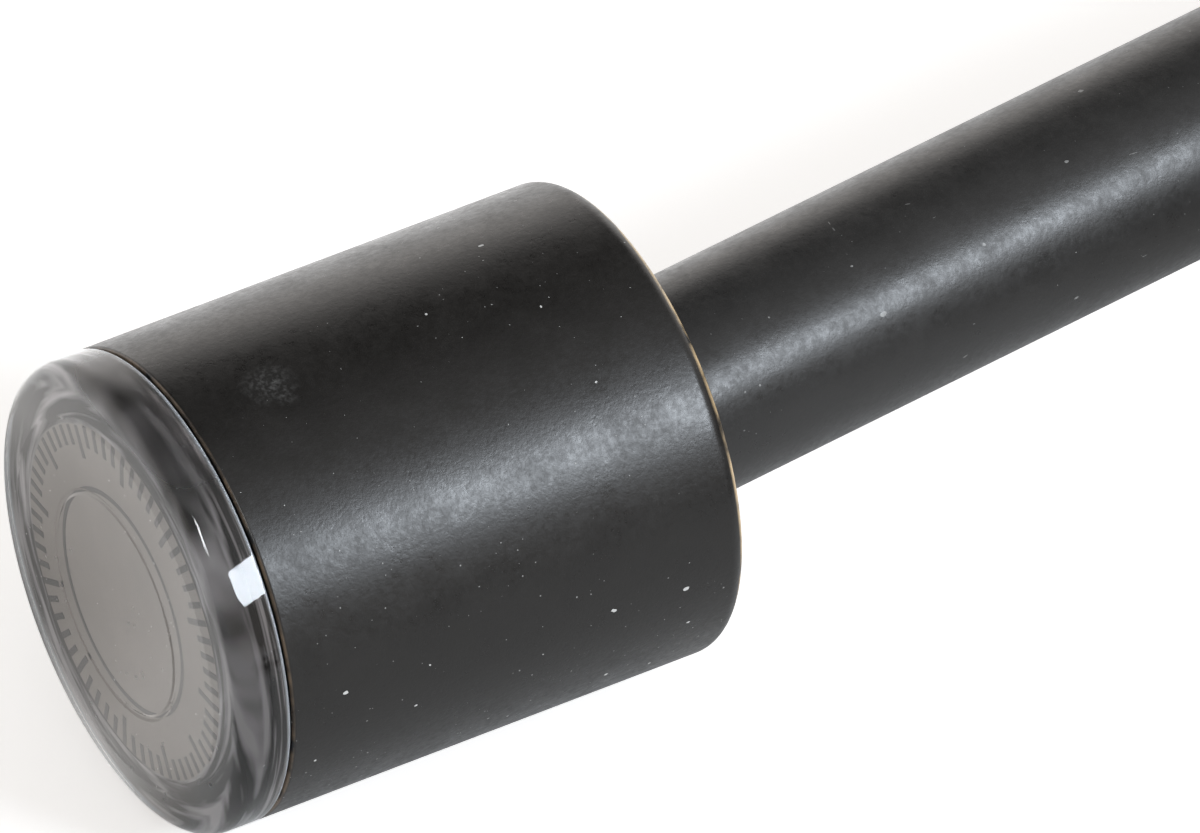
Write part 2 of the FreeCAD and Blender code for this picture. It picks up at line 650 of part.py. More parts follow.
def make_cable():
    """The sheath: the straight lead, the coil, and the tail into the tip."""
    radius = float(s.sheath_diameter) / 2
    yaw = math.radians(EXIT_YAW)
    way = V(math.cos(yaw), math.sin(yaw), 0)
    height = float(axis_height)
    # the lead's axis meets the head's axis at the back face
    back = V(float(head_half), 0, height)
    start_gap = float(s.barrel_length - socket_floor) - radius * math.sin(yaw) - float(s.end_gap)
    start = back - way * start_gap
    bend = start + way * STRAIGHT_RUN
    coil_start = V(COIL_MIDDLE_X - COIL_STUB, LEAD_LINE_Y, float(sheath_height))
    landed = coil_start - V(LEAD_LAST_RUN, 0, 0)
    lead, lead_radii = rounded_route([start, bend, landed, coil_start])
    shape, path = piped(lead, radius)
    held_shape("sheath_lead", shape)
    compare_volume("sheath_lead", shape, path, radius)
    total = path.Length - start_gap

    stub = [Part.LineSegment(coil_start, coil_line(0))]
    east, west = V(1, 0, 0), V(-1, 0, 0)
    turns = wound(coil_line, COIL_TURNS, east, west)
    last = coil_line(COIL_TURNS)
    coil_end = last - V(COIL_STUB, 0, 0)
    shape, path = piped(stub + turns + [Part.LineSegment(last, coil_end)], radius)
    held_shape("sheath_coil", shape)
    compare_volume("sheath_coil", shape, path, radius)
    turn = 2 * math.pi * float(s.coil_radius - s.coil_step)
    print(f"sheath_coil: least gap to itself {least_gap(path, 2 * radius, turn):.2f} mm")
    total += path.Length

    drop = coil_end.z - float(s.tip_height)
    over = coil_end - V(TAIL_FIRST_RUN, 0, 0)
    down = over - V(math.sqrt(TAIL_DROP_RUN ** 2 - drop ** 2), 0, drop)
    tail, tail_radii = rounded_route([coil_end, over, down, V(TIP_X, coil_end.y, down.z)])
    shape, path = piped(tail, radius)
    compare_volume("sheath_tail", shape, path, radius)
    total += path.Length
    hollow = Part.makeCylinder(float(s.pin_diameter / 2 + s.tail_room),
                               float(s.tail_bore_depth), V(TIP_X, coil_end.y, down.z), east)
    held_shape("sheath_tail", shape.cut(hollow))
    radii = ", ".join(f"{r:.0f}" for r in lead_radii + tail_radii)
    print(f"bend radii of the lead and the tail: {radii} mm; cable {total:.0f} mm from the back face")


def strap_corners(reach):
    """The corners of the triangle whose sides pass the three strands in the strap by one reach."""
    outer_turn = s.coil_radius - s.coil_step * inward_turns(0.25)
    side = s.coil_step * (inward_turns(COIL_TURNS / 2) - inward_turns(0.25))
    half = s.coil_layer / 2
    slant = (side * side + half * half).root()
    middle = sheath_height + half
    far, past = outer_turn + reach, half + reach * (slant + half) / side
    near = outer_turn - side - reach * slant / half
    return [(far, middle - past), (far, middle + past), (near, middle)]


def make_tie():
    """The strap on the coil's far side, which hugs the three strands: a triangle with round corners."""
    body = document.addObject("PartDesign::Body", "coil_tie")
    body.Label = "coil_tie"
    middle_y = LEAD_LINE_Y - float(s.coil_radius)
    body.Placement.Base = V(COIL_MIDDLE_X, middle_y, 0)
    body.setExpression("Placement.Base.y", f"{LEAD_LINE_Y} - {s.coil_radius.text}")
    sketch = sketch_in(body, "XZ_Plane", "coil_tie_outline")
    inside = s.sheath_diameter / 2 + s.tie_gap
    outside = inside + s.tie_thickness
    draw_outline(sketch, strap_corners(outside))
    draw_outline(sketch, strap_corners(inside))
    pad = body.newObject("PartDesign::Pad", "coil_tie_band")
    pad.Profile = sketch
    pad.Midplane = True
    pad.Length = float(s.tie_width)
    pad.setExpression("Length", s.tie_width.text)
    sketch.Visibility = False
    document.recompute()
    for name, reach in (("outer", outside), ("inner", inside)):
        corners = [float(x) for x, z in strap_corners(reach)]
        base = body.Tip
        edges = [
            f"Edge{i}" for i, edge in enumerate(base.Shape.Edges, start=1)
            if isinstance(edge.Curve, Part.Line) and abs(edge.Curve.Direction.y) > 0.9
            and min(abs(edge.Vertexes[0].X - c) for c in corners) < NEAR
        ]
        fillet = body.newObject("PartDesign::Fillet", f"coil_tie_{name}_corners")
        fillet.Base = (base, edges)
        fillet.Radius = float(reach)
        fillet.setExpression("Radius", reach.text)
        document.recompute()


# The tip lies on the line on which the cable leaves the coil
TAIL_DROP = float(sheath_height) + float(s.coil_layer) - float(s.tip_height)
TIP_X = COIL_MIDDLE_X - COIL_STUB - TAIL_FIRST_RUN - TAIL_LAST_RUN
TIP_X -= math.sqrt(TAIL_DROP_RUN ** 2 - TAIL_DROP ** 2)
COIL_MIDDLE_Y_TEXT = f"({LEAD_LINE_Y} - {s.coil_radius.text})"
TIP_Y = LEAD_LINE_Y - 2 * float(s.coil_radius)


def checked_pieces():
    """The pieces by name, once every object of the document is known to be sound."""
    document.recompute()
    for item in document.Objects:
        if "Invalid" in item.State or "Error" in item.State:
            raise RuntimeError(f"{item.Label} failed: {item.State}")
    pieces = {}
    for item in document.Objects:
        if item.TypeId in ("PartDesign::Body", "Part::Feature"):
            if item.Shape.isNull() or not item.Shape.isValid() or not item.Shape.Solids:
                raise RuntimeError(f"{item.Label} isn't a sound solid")
            pieces[item.Label] = item.Shape
    return pieces


def main():
    make_barrel()
    make_button()
    make_wire_end()
    make_front_guides()
    make_rear_fittings()
    make_spring()
    make_cable()
    make_tie()
    make_tip()
    make_collar()
    make_pin()
    print(f"thumb button: stroke {float(stroke):.2f} mm")
    os.makedirs("parts", exist_ok=True)
    for name, shape in checked_pieces().items():
        shape.exportStep(f"parts/{name}.step")
        print(f"{name}: {len(shape.Solids)} solid, {shape.Volume:.2f} mm3")


main()
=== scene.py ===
"""A mechanical cable release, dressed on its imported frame.

Everything is in metres, in the frame's own place: +X runs along the head's axis from the thumb button
to the cable, +Z is up, and the floor is at zero. The button is pressed home.
"""

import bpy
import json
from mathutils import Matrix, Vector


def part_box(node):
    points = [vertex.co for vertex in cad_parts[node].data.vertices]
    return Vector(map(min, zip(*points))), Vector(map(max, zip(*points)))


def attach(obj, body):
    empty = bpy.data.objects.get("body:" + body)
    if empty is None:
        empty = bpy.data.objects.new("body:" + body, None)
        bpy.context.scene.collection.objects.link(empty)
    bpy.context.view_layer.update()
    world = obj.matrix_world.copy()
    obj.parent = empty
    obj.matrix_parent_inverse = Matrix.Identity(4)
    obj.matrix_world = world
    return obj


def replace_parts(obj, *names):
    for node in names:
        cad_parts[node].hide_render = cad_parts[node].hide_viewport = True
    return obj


bl_info = {
    "name": "Cable Release",
    "version": (1, 0, 0),
    "blender": (4, 5, 0),
    "location": "3D View > Sidebar > Release",
    "description": "Builds the finished pieces, finishes, lights and camera of a mechanical cable release",
    "category": "Object",
}

import json
import math

import bmesh
import bpy
from bpy.props import FloatProperty, FloatVectorProperty, IntProperty, PointerProperty
from bpy.types import Operator, Panel, PropertyGroup
from mathutils import Matrix, Vector

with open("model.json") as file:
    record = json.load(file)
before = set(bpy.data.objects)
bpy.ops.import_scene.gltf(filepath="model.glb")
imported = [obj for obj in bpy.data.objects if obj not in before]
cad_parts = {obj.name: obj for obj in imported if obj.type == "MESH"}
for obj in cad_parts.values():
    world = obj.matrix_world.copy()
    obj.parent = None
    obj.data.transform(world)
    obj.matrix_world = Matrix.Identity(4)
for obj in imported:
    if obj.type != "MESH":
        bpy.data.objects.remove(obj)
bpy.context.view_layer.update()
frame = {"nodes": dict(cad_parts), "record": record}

# places that come from the frame
SEAM_X, BACK_X = (corner.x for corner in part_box("barrel"))
CAP_FRONT_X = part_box("thumb_cap")[0].x
CORE_LOW, CORE_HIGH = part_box("button_core")
NOSE_END_X, COLLAR_FACE_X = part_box("tip_nose")[0].x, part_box("tip_collar")[0].x

# places and radii that part.py sets too
HEAD_RADIUS = 0.006
AXIS_HEIGHT = HEAD_RADIUS    # the head lies on the floor
HEAD_MIDDLE = (0.0, AXIS_HEIGHT)
TIP_MIDDLE = (-0.0588, 0.0038)
CORE_RADIUS = CORE_HIGH.z - AXIS_HEIGHT
CORE_HOLE = 0.00123
NOSE_ROOT_RADIUS, NOSE_END_RADIUS = 0.0018, 0.0015
TIP_NODES = ("tip_ferrule", "tip_collar", "tip_boot", "tip_clip", "tip_bush", "release_pin", "tip_nose")

# the cable's route, as it is wound for the shelf
COIL_MIDDLE = (0.063, -0.0273)
COIL_TURNS = 2.5
CLIMB_START, CLIMB_TURNS = 1.0, 0.5         # where it rises to the second layer, in turns
STRAPPED_TURNS = (0.25, 2.25, 1.25)         # where its strands pass through the strap
CABLE_END_X = 0.0209
CABLE_END_OVERLAP = 0.0001
POINTS_PER_TURN = 16

# small roundings, gaps and steps of the finished pieces
EDGE_BREAK, FINE_BREAK = 0.00005, 0.00002
CAP_FACE_ROUNDING, CAP_BACK_ROUNDING = 0.0006, 0.00004
FLANGE_INSET, FLANGE_STEP, CORE_SKIN = 0.00003, 0.000005, 0.000045
STRAP_GAP, STRAP_EDGE, STRAP_CORNER_STEPS = 0.00005, 0.0002, 16
RIB_HEIGHT, RIB_SHARE = 0.0002, 0.86
THREAD_OFF_COLLAR, THREAD_OFF_END = 0.0002, 0.0005      # bare nose at each end of its thread


def length(name, metres, about):
    """A size that a user would change."""
    return FloatProperty(name=name, description=about, default=metres, min=0.0,
                         precision=5, subtype="DISTANCE", unit="LENGTH")


def colour(name, values, about):
    """A colour that a user would change."""
    return FloatVectorProperty(name=name, description=about, default=values, size=3,
                               min=0.0, max=1.0, subtype="COLOR")


class ReleaseSizes(PropertyGroup):
    """Sizes of the finished pieces."""

    barrel_rounding: length("Barrel rounding", 0.00046, "Rounding of the barrel's back edge")
    seam_bevel: length("Seam bevel", 0.00008, "Bevel of the barrel at the seam")
    barrel_wall: length("Barrel wall", 0.001, "Wall round the chamber")
    mouth_step: length("Mouth step", 0.00023, "Step where the mouth widens for the front bush")
    mouth_depth: length("Mouth depth", 0.00205, "Depth of the wide mouth")
    rear_wall: length("Rear wall", 0.0016, "Wall behind the chamber")
    rear_hole: length("Rear hole", 0.004, "Radius of the hole for the rear bush")
    cap_depth: length("Cap depth", 0.0014, "Clear cap, front to back")
    cap_rim_width: length("Cap rim width", 0.00125, "Outside of the cap in to its flat face")
    cap_slope: length("Cap slope", 0.00016, "Fall from the flat face to the rounded rim")
    cap_rounding: length("Cap rounding", 0.00055, "Rounding of the cap's rim")
    cap_bond: length("Cap bond", 0.00002, "How far the clear cap is cast round the core")
    cap_groove: length("Cap groove", 0.00003, "Depth of the circle cut in the cap's face")
    backing: length("Backing", 0.00004, "Dark flange of the core behind the cap's rim")
    mark_outer: length("Mark outer radius", 0.0045, "Outer ends of the marks round the core")
    mark_length: length("Mark length", 0.00084, "Length of a long mark")
    mark_width: length("Mark width", 0.00016, "Width of a mark")
    mark_relief: length("Mark relief", 0.00003, "Height of a mark above the core")
    ring_radius: length("Ring radius", 0.00287, "Plain circle on the core")
    cable_diameter: length("Cable diameter", 0.0055, "Outside of the cable's sheath")
    cable_length: length("Cable length", 0.5367, "Cable from the barrel's back face to the tip")
    pin_room: length("Pin room", 0.0011, "Radius of the hollow in the sheath's end, where the pin moves")
    coil_radius: length("Coil radius", 0.0315, "Outer turn of the coil")
    coil_step: length("Coil step", 0.006, "Steady inward step for each turn")
    coil_layer: length("Coil layer", 0.006, "Height between the coil's two layers")
    coil_height: length("Coil height", 0.00355, "Middle of the floor layer above the floor")
    strap_thickness: length("Strap thickness", 0.00055, "Thickness of the rubber strap round the coil")
    strap_width: length("Strap width", 0.004, "Width of the rubber strap round the coil")
    rib_spacing: length("Rib spacing", 0.0011, "Spacing of the strap's ribs")
    thread_pitch: length("Thread pitch", 0.0005, "Pitch of the thread on the tapered nose")
    thread_depth: length("Thread depth", 0.00013, "Height of that thread")
    mark_count: IntProperty(name="Marks", description="Marks round the core", default=60, min=4)


class ReleaseColours(PropertyGroup):
    """Colours of the finishes."""

    barrel: colour("Barrel", (0.0125, 0.0112, 0.0100), "Satin black barrel")
    cable: colour("Cable", (0.0235, 0.0222, 0.0210), "Satin black sheath")
    clear: colour("Clear", (0.995, 0.98, 0.965), "Clear cap")
    clear_dim: colour("Clear, dimmer", (0.945, 0.93, 0.912), "Clear cap where it is a little cloudy")
    core: colour("Core", (0.221, 0.200, 0.184), "Core under the clear cap")
    core_centre: colour("Core centre", (0.249, 0.228, 0.212), "Paler middle of the core")
    # pale turning streaks on the dark flange, painted bright enough to stand for the glints that the clear
    # rim shows in front of it
    streak_and_glint: colour("Streaks", (0.375, 0.362, 0.375), "Turning streaks on the core's dark flange")
    # painted glint: a pale bluish band round the dark flange's outer edge, for the light line along the
    # cap's back edge
    glint: colour("Flange lip", (0.45, 0.49, 0.53), "Pale outer lip of the core's dark flange")
    mark: colour("Marks", (0.014, 0.013, 0.012), "Marks round the core, and its dark flange")
    dust: colour("Dust", (0.55, 0.54, 0.52), "Dust and lint on the barrel and cable")
    dull_dust: colour("Dull dust", (0.35, 0.34, 0.33), "Dust on rubber and nylon")
    worn: colour("Worn edge", (0.22, 0.155, 0.10), "Worn edge of the barrel at the seam")
    # bare metal on the back edge's rounding, bright enough to be partly a painted glint where the edge
    # catches the light
    bare: colour("Bare edge", (0.75, 0.54, 0.30), "Bare metal of the barrel's back edge")
    steel: colour("Plated steel", (0.72, 0.72, 0.73), "Plunger and pin")
    wire: colour("Spring steel", (0.46, 0.46, 0.47), "Springs, wire and clips")
    brass: colour("Brass", (0.72, 0.52, 0.24), "Bushes and ferrule")
    stained_brass: colour("Stained brass", (0.42, 0.27, 0.11), "Brass where it has darkened")
    chrome: colour("Chrome", (0.76, 0.77, 0.78), "Tip")
    rubber: colour("Rubber", (0.020, 0.0195, 0.019), "Strap, washer and strain relief")
    nylon: colour("Nylon", (0.03, 0.03, 0.031), "Rear bush")
    floor: colour("Floor", (0.90, 0.885, 0.865), "Studio floor")


# ---------------------------------------------------------------- node helpers

def fill(tree, inputs, values):
    """Sets inputs to plain values, or links them to sockets."""
    for name, value in values.items():
        if isinstance(value, bpy.types.NodeSocket):
            tree.links.new(value, inputs[name])
        else:
            inputs[name].default_value = value


def feed(tree, inputs, **values):
    """Sets or links inputs by their labels, with an underscore for each space."""
    fill(tree, inputs, {label.replace("_", " "): value for label, value in values.items()})


def add(tree, kind, inputs=None, **settings):
    """A node with its settings, and its inputs set or linked."""
    node = tree.nodes.new(kind)
    for name, value in settings.items():
        setattr(node, name, value)
    fill(tree, node.inputs, inputs or {})
    return node


def made(tree, kind, inputs=None, **settings):
    """The first output of a new node."""
    return add(tree, kind, inputs, **settings).outputs[0]


def maths(tree, operation, first, second=None, clamp=False):
    """The result of one sum on values or sockets."""
    inputs = {0: first} if second is None else {0: first, 1: second}
    return made(tree, "ShaderNodeMath", inputs, operation=operation, use_clamp=clamp)


def times(tree, first, second, clamp=False):
    """Two values multiplied."""
    return maths(tree, "MULTIPLY", first, second, clamp)


def most(tree, first, *others):
    """The greatest of several values."""
    for other in others:
        first = maths(tree, "MAXIMUM", first, other)
    return first


def vectors(tree, operation, first, second=None):
    """The result of one sum on places: a place, or the number that a length or distance is."""
    inputs = {0: first} if second is None else {0: first, 3 if operation == "SCALE" else 1: second}
    node = add(tree, "ShaderNodeVectorMath", inputs, operation=operation)
    return node.outputs["Value" if operation in ("LENGTH", "DISTANCE") else "Vector"]


def ranged(tree, value, low, high, start=0.0, end=1.0):
    """A value moved from one range to another, and held there."""
    return made(tree, "ShaderNodeMapRange", {"Value": value, "From Min": start, "From Max": end,
                                             "To Min": low, "To Max": high}, clamp=True)


def mixed(tree, first, second, share):
    """A number mixed from two, by a mask."""
    return made(tree, "ShaderNodeMix", {2: first, 3: second, 0: share}, data_type="FLOAT")


def blended(tree, first, second, share):
    """A colour mixed from two, by a mask."""
    return add(tree, "ShaderNodeMix", {6: first, 7: second, 0: share}, data_type="RGBA").outputs[2]


def solid(values):
    """A colour with its alpha."""
    return (*values, 1.0)


def shades(tree, tint, dark, light, share):
    """A colour between a darker and a lighter shade of one tint, by a mask."""
    return blended(tree, solid([c * dark for c in tint]), solid([c * light for c in tint]), share)


def bump(tree, height, strength, reach):
    """A normal from a height."""
    return made(tree, "ShaderNodeBump", {"Height": height, "Strength": strength, "Distance": reach})


def object_place(tree):
    """The place on the piece, in metres."""
    return tree.nodes.new("ShaderNodeTexCoord").outputs["Object"]


def split(tree, place):
    """The three numbers of a place."""
    return add(tree, "ShaderNodeSeparateXYZ", {0: place}).outputs


def from_axis(tree):
    """The distance from the head's axis."""
    return vectors(tree, "LENGTH", made(tree, "ShaderNodeMapping", {
        "Vector": object_place(tree), "Location": (0.0, 0.0, -AXIS_HEIGHT), "Scale": (0.0, 1.0, 1.0)}))


def noise(tree, place, scale, detail, roughness=0.5):
    """An uneven value that changes over the piece."""
    return made(tree, "ShaderNodeTexNoise", {"Vector": place, "Scale": scale, "Detail": detail,
                                             "Roughness": roughness})


def swayed(tree, place, scale, reach):
    """A place pushed about by noise."""
    unrest = add(tree, "ShaderNodeTexNoise", {"Vector": place, "Scale": scale, "Detail": 1.0})
    return vectors(tree, "ADD", place, vectors(tree, "SCALE", unrest.outputs["Color"], reach))


def new_group(name, inputs, outputs):
    """A shader group with named inputs and outputs: its tree, what it is given and its end's inputs."""
    tree = bpy.data.node_groups.new(name, "ShaderNodeTree")
    for label, value in inputs:
        socket = tree.interface.new_socket(label, in_out="INPUT", socket_type="NodeSocketFloat")
        socket.default_value = value
    for label in outputs:
        tree.interface.new_socket(label, in_out="OUTPUT", socket_type="NodeSocketFloat")
    return tree, tree.nodes.new("NodeGroupInput").outputs, tree.nodes.new("NodeGroupOutput").inputs


def use_group(tree, name, **values):
    """One of the shared groups in a material, with this material's own values."""
    node = add(tree, "ShaderNodeGroup", node_tree=bpy.data.node_groups[name])
    feed(tree, node.inputs, **values)
    return node.outputs


# ---------------------------------------------------------------- shared shader groups

# kinds of dust: cells to a metre, how rare a speck is in them, its size in its cell, how much it covers
COARSE_SPECKS = (2300.0, 6.0, 0.095, 1.0)
FINE_SPECKS = (5200.0, 2.4, 0.10, 0.5)
FLAKES = (1500.0, 7.0, 0.12, 1.0)
FIBRES = (2300.0, 3.0, 0.05, 0.7)

# the scuffed spot on the barrel: its middle, and how far it reaches
SCUFF_MIDDLE, SCUFF_REACH = (-0.0029, -0.0005, 0.0122), 0.0008


def make_grain_group():
    """A fine even grain, a coarser mottle, and a slow cloudiness over them."""
    tree, given, out = new_group("fine_grain", [("Grain Scale", 9000.0), ("Cloud Scale", 400.0)],
                                 ["Height", "Mottle", "Cloud"])
    place = object_place(tree)
    fine = noise(tree, place, given["Grain Scale"], 2.0, 0.55)
    slow = noise(tree, place, given["Cloud Scale"], 3.0, 0.6)
    patchy = noise(tree, place, times(tree, given["Grain Scale"], 0.55), 4.0, 0.72)
    feed(tree, out, Height=maths(tree, "ADD", fine, times(tree, patchy, 1.5)), Mottle=patchy, Cloud=slow)


def specks(tree, place, thick, cells_to_metre, rarity, size, cover):
    """A mask of one kind of dust: few cells have a speck, and specks are larger where dust is thick."""
    cells = add(tree, "ShaderNodeTexVoronoi", {"Vector": place, "Scale": cells_to_metre,
                                               "Randomness": 1.0}).outputs
    chance = made(tree, "ShaderNodeSeparateColor", {"Color": cells["Color"]})
    reach = times(tree, maths(tree, "POWER", chance, rarity), times(tree, thick, size))
    return times(tree, maths(tree, "LESS_THAN", cells["Distance"], reach), cover)


def make_dust_group():
    """Specks of two sizes, larger flakes, short fibres that lie two ways, and one scuffed spot."""
    tree, given, out = new_group("dust_and_lint", [("Amount", 1.0), ("Scale", 1.0)], ["Mask"])
    scaled = vectors(tree, "SCALE", object_place(tree), given["Scale"])
    drift = noise(tree, scaled, 210.0, 1.0)
    thick = times(tree, ranged(tree, drift, 0.35, 1.3, 0.36, 0.56),
                  ranged(tree, split(tree, scaled)["Z"], 1.25, 0.75, 0.004, 0.010))
    ragged = swayed(tree, scaled, 9000.0, 0.00005)
    curled = swayed(tree, scaled, 900.0, 0.0005)
    layers = [specks(tree, ragged, thick, *kind) for kind in (COARSE_SPECKS, FINE_SPECKS)]
    for place, rotation, stretch, kind in ((ragged, (0.3, 0.5, 0.9), (0.6, 1.0, 1.0), FLAKES),
                                           (curled, (0.4, 0.9, 0.3), (0.11, 1.0, 1.0), FIBRES),
                                           (curled, (1.2, 0.2, 1.7), (1.0, 0.10, 1.0), FIBRES)):
        laid = made(tree, "ShaderNodeMapping", {"Vector": place, "Rotation": rotation, "Scale": stretch})
        layers.append(specks(tree, laid, thick, *kind))
    touched = vectors(tree, "DISTANCE", swayed(tree, scaled, 1500.0, 0.0006), SCUFF_MIDDLE)
    layers.append(times(tree, ranged(tree, touched, 0.16, 0.0, 0.0, SCUFF_REACH),
                        ranged(tree, noise(tree, scaled, 9000.0, 4.0), 0.1, 1.0, 0.46, 0.70)))
    feed(tree, out, Mask=times(tree, most(tree, *layers), given["Amount"], clamp=True))


def make_edge_group():
    """A band at one place along X on the head's outside, broken up by noise: worn metal, and on the back
    edge partly a painted glint.
    """
    tree, given, out = new_group("edge_wear_and_glint", [("Near", 0.0), ("Width", 0.0001), ("Depth", 0.00018),
                                               ("Breaks", 1500.0)], ["Mask"])
    place = object_place(tree)
    sunk = maths(tree, "SUBTRACT", HEAD_RADIUS, from_axis(tree))
    outside = maths(tree, "LESS_THAN", sunk, given["Depth"])
    away = maths(tree, "ABSOLUTE", maths(tree, "SUBTRACT", split(tree, place)["X"], given["Near"]))
    band = maths(tree, "SUBTRACT", 1.0, maths(tree, "DIVIDE", away, given["Width"]), clamp=True)
    broken = ranged(tree, noise(tree, place, given["Breaks"], 3.0), 0.0, 1.0, 0.36, 0.60)
    feed(tree, out, Mask=times(tree, times(tree, band, broken), outside))


def make_turning_group():
    """Fine tool marks round an axis along X, for turned and drawn metal, and slow stains."""
    tree, given, out = new_group("tool_marks", [("Spacing", 12000.0), ("Stain Scale", 700.0)],
                                 ["Height", "Stain"])
    place = object_place(tree)
    drawn_out = vectors(tree, "MULTIPLY", place, (1.0, 0.06, 0.06))
    feed(tree, out, Height=noise(tree, drawn_out, given["Spacing"], 2.0),
         Stain=noise(tree, place, given["Stain Scale"], 4.0, 0.65))


# ---------------------------------------------------------------- finishes

# heights between which the top of the cap's rim grows rougher
RIM_TOP = (0.0110, 0.0115)
# on the core: how softly its circle ends, the flange's soft start, and its painted glint band, in from the
# outside
CIRCLE_FADE, FLANGE_FADE, GLINT_START, GLINT_FULL = 0.00006, 0.00003, 0.00022, 0.00010
STREAKS_ACROSS, STREAKS_ALONG = 3600.0, 420.0


def new_material(name, **plain):
    """A material with its Principled node, whose even numbers are set on its own sockets."""
    finish = bpy.data.materials.new(name)
    finish.use_nodes = True
    surface = finish.node_tree.nodes["Principled BSDF"].inputs
    feed(finish.node_tree, surface, **plain)
    return finish.node_tree, surface


def make_satin_black(name, tint, dust, grain, roughness, gloss, dusty, edges=()):
    """Satin black with an even grain, cloudy sheen, dust, and bands on its edges: wear, and on the back
    edge partly a painted glint.
    """
    tree, surface = new_material(name, IOR=gloss)
    grainy = use_group(tree, "fine_grain", Grain_Scale=grain, Cloud_Scale=950.0)
    specked = use_group(tree, "dust_and_lint", Amount=dusty, Scale=1.0)["Mask"]
    base = shades(tree, tint, 0.8, 1.25, grainy["Cloud"])
    for bare, band in edges:
        base = blended(tree, base, solid(bare), use_group(tree, "edge_wear_and_glint", **band)["Mask"])
    cloudy = ranged(tree, grainy["Cloud"], roughness - 0.035, roughness + 0.035, 0.35, 0.65)
    uneven = maths(tree, "ADD", cloudy, ranged(tree, grainy["Mottle"], -0.055, 0.055, 0.36, 0.64))
    feed(tree, surface, Base_Color=blended(tree, base, solid(dust), specked),
         Roughness=most(tree, uneven, times(tree, specked, 0.85)),
         Normal=bump(tree, grainy["Height"], strength=0.22, reach=0.000014))


def make_metal(name, tint, stained, roughness, marks):
    """Metal with tool marks and a little staining."""
    tree, surface = new_material(name, Metallic=1.0)
    turning = use_group(tree, "tool_marks", Spacing=marks, Stain_Scale=650.0)
    share = ranged(tree, turning["Stain"], 0.0, 1.0, 0.45, 0.75)
    feed(tree, surface, Base_Color=blended(tree, solid(tint), solid(stained), share),
         Roughness=ranged(tree, turning["Stain"], roughness, roughness + 0.16, 0.4, 0.75),
         Normal=bump(tree, turning["Height"], strength=0.25, reach=0.000008))


def make_matt(name, tint, dust, roughness, grain, depth):
    """Matt rubber, nylon or paint with a fine grain and a dusty bloom."""
    tree, surface = new_material(name, IOR=1.5)
    grainy = use_group(tree, "fine_grain", Grain_Scale=grain, Cloud_Scale=500.0)
    bloom = ranged(tree, grainy["Cloud"], 0.0, 1.0, 0.4, 0.8)
    base = blended(tree, solid(tint), solid([c * 1.9 + 0.004 for c in tint]), bloom)
    specked = use_group(tree, "dust_and_lint", Amount=0.5, Scale=1.3)["Mask"]
    feed(tree, surface, Base_Color=blended(tree, base, solid(dust), specked),
         Roughness=ranged(tree, bloom, roughness, roughness + 0.12),
         Normal=bump(tree, grainy["Height"], strength=0.5, reach=depth))


def make_clear(name, tint, dim_tint):
    """Clear acrylic: polished, with faint handling haze, a rougher top of its rim and a few specks."""
    tree, surface = new_material(name, IOR=1.49, Transmission_Weight=1.0)
    grainy = use_group(tree, "fine_grain", Grain_Scale=3000.0, Cloud_Scale=260.0)
    specked = use_group(tree, "dust_and_lint", Amount=0.7, Scale=1.25)["Mask"]
    haze = most(tree, ranged(tree, grainy["Cloud"], 0.015, 0.07, 0.42, 0.72),
                ranged(tree, split(tree, object_place(tree))["Z"], 0.0, 0.34, *RIM_TOP))
    feed(tree, surface, Base_Color=blended(tree, solid(dim_tint), solid(tint), grainy["Cloud"]),
         Roughness=most(tree, haze, times(tree, specked, 0.5)),
         Normal=bump(tree, grainy["Cloud"], strength=0.25, reach=0.00002))


def make_core_finish(name, sizes, colours):
    """The core: a paler, rougher middle, a ring for the marks, and a dark flange whose turning streaks and
    pale outer band are painted glints of the clear rim.
    """
    tree, surface = new_material(name, Specular_IOR_Level=0.08)
    away = from_axis(tree)
    grainy = use_group(tree, "fine_grain", Grain_Scale=5200.0, Cloud_Scale=520.0)
    inside = ranged(tree, away, 1.0, 0.0, sizes.ring_radius - CIRCLE_FADE, sizes.ring_radius)
    face = blended(tree, shades(tree, colours.core, 0.85, 1.15, grainy["Cloud"]),
                   shades(tree, colours.core_centre, 0.75, 1.3, grainy["Cloud"]), inside)
    spot = split(tree, object_place(tree))
    # turning streaks on the dark flange, pale enough to be painted glints of the clear rim
    drawn_out = made(tree, "ShaderNodeCombineXYZ", {
        0: times(tree, maths(tree, "ADD", away, spot["X"]), STREAKS_ACROSS),
        1: times(tree, spot["Y"], STREAKS_ALONG), 2: times(tree, spot["Z"], STREAKS_ALONG)})
    streak_glints = ranged(tree, noise(tree, drawn_out, 1.0, 2.0), 0.0, 1.0, 0.46, 0.68)
    flange = blended(tree, solid(colours.mark), solid(colours.streak_and_glint), streak_glints)
    # painted glint: a pale band round the flange's outer edge, just behind the cap's back edge
    glint = ranged(tree, away, 0.0, 1.0, HEAD_RADIUS - GLINT_START, HEAD_RADIUS - GLINT_FULL)
    on_flange = ranged(tree, away, 0.0, 1.0, sizes.mark_outer, sizes.mark_outer + FLANGE_FADE)
    feed(tree, surface,
         Base_Color=blended(tree, face, blended(tree, flange, solid(colours.glint), glint), on_flange),
         Roughness=ranged(tree, inside, 0.42, 0.6),
         Normal=bump(tree, grainy["Height"], strength=0.4, reach=0.00001))


def finish_named(name):
    """One of the finishes, which have to be made first."""
    if name not in bpy.data.materials:
        raise RuntimeError(f"the finish {name} isn't made yet")
    return bpy.data.materials[name]


# ---------------------------------------------------------------- mesh helpers

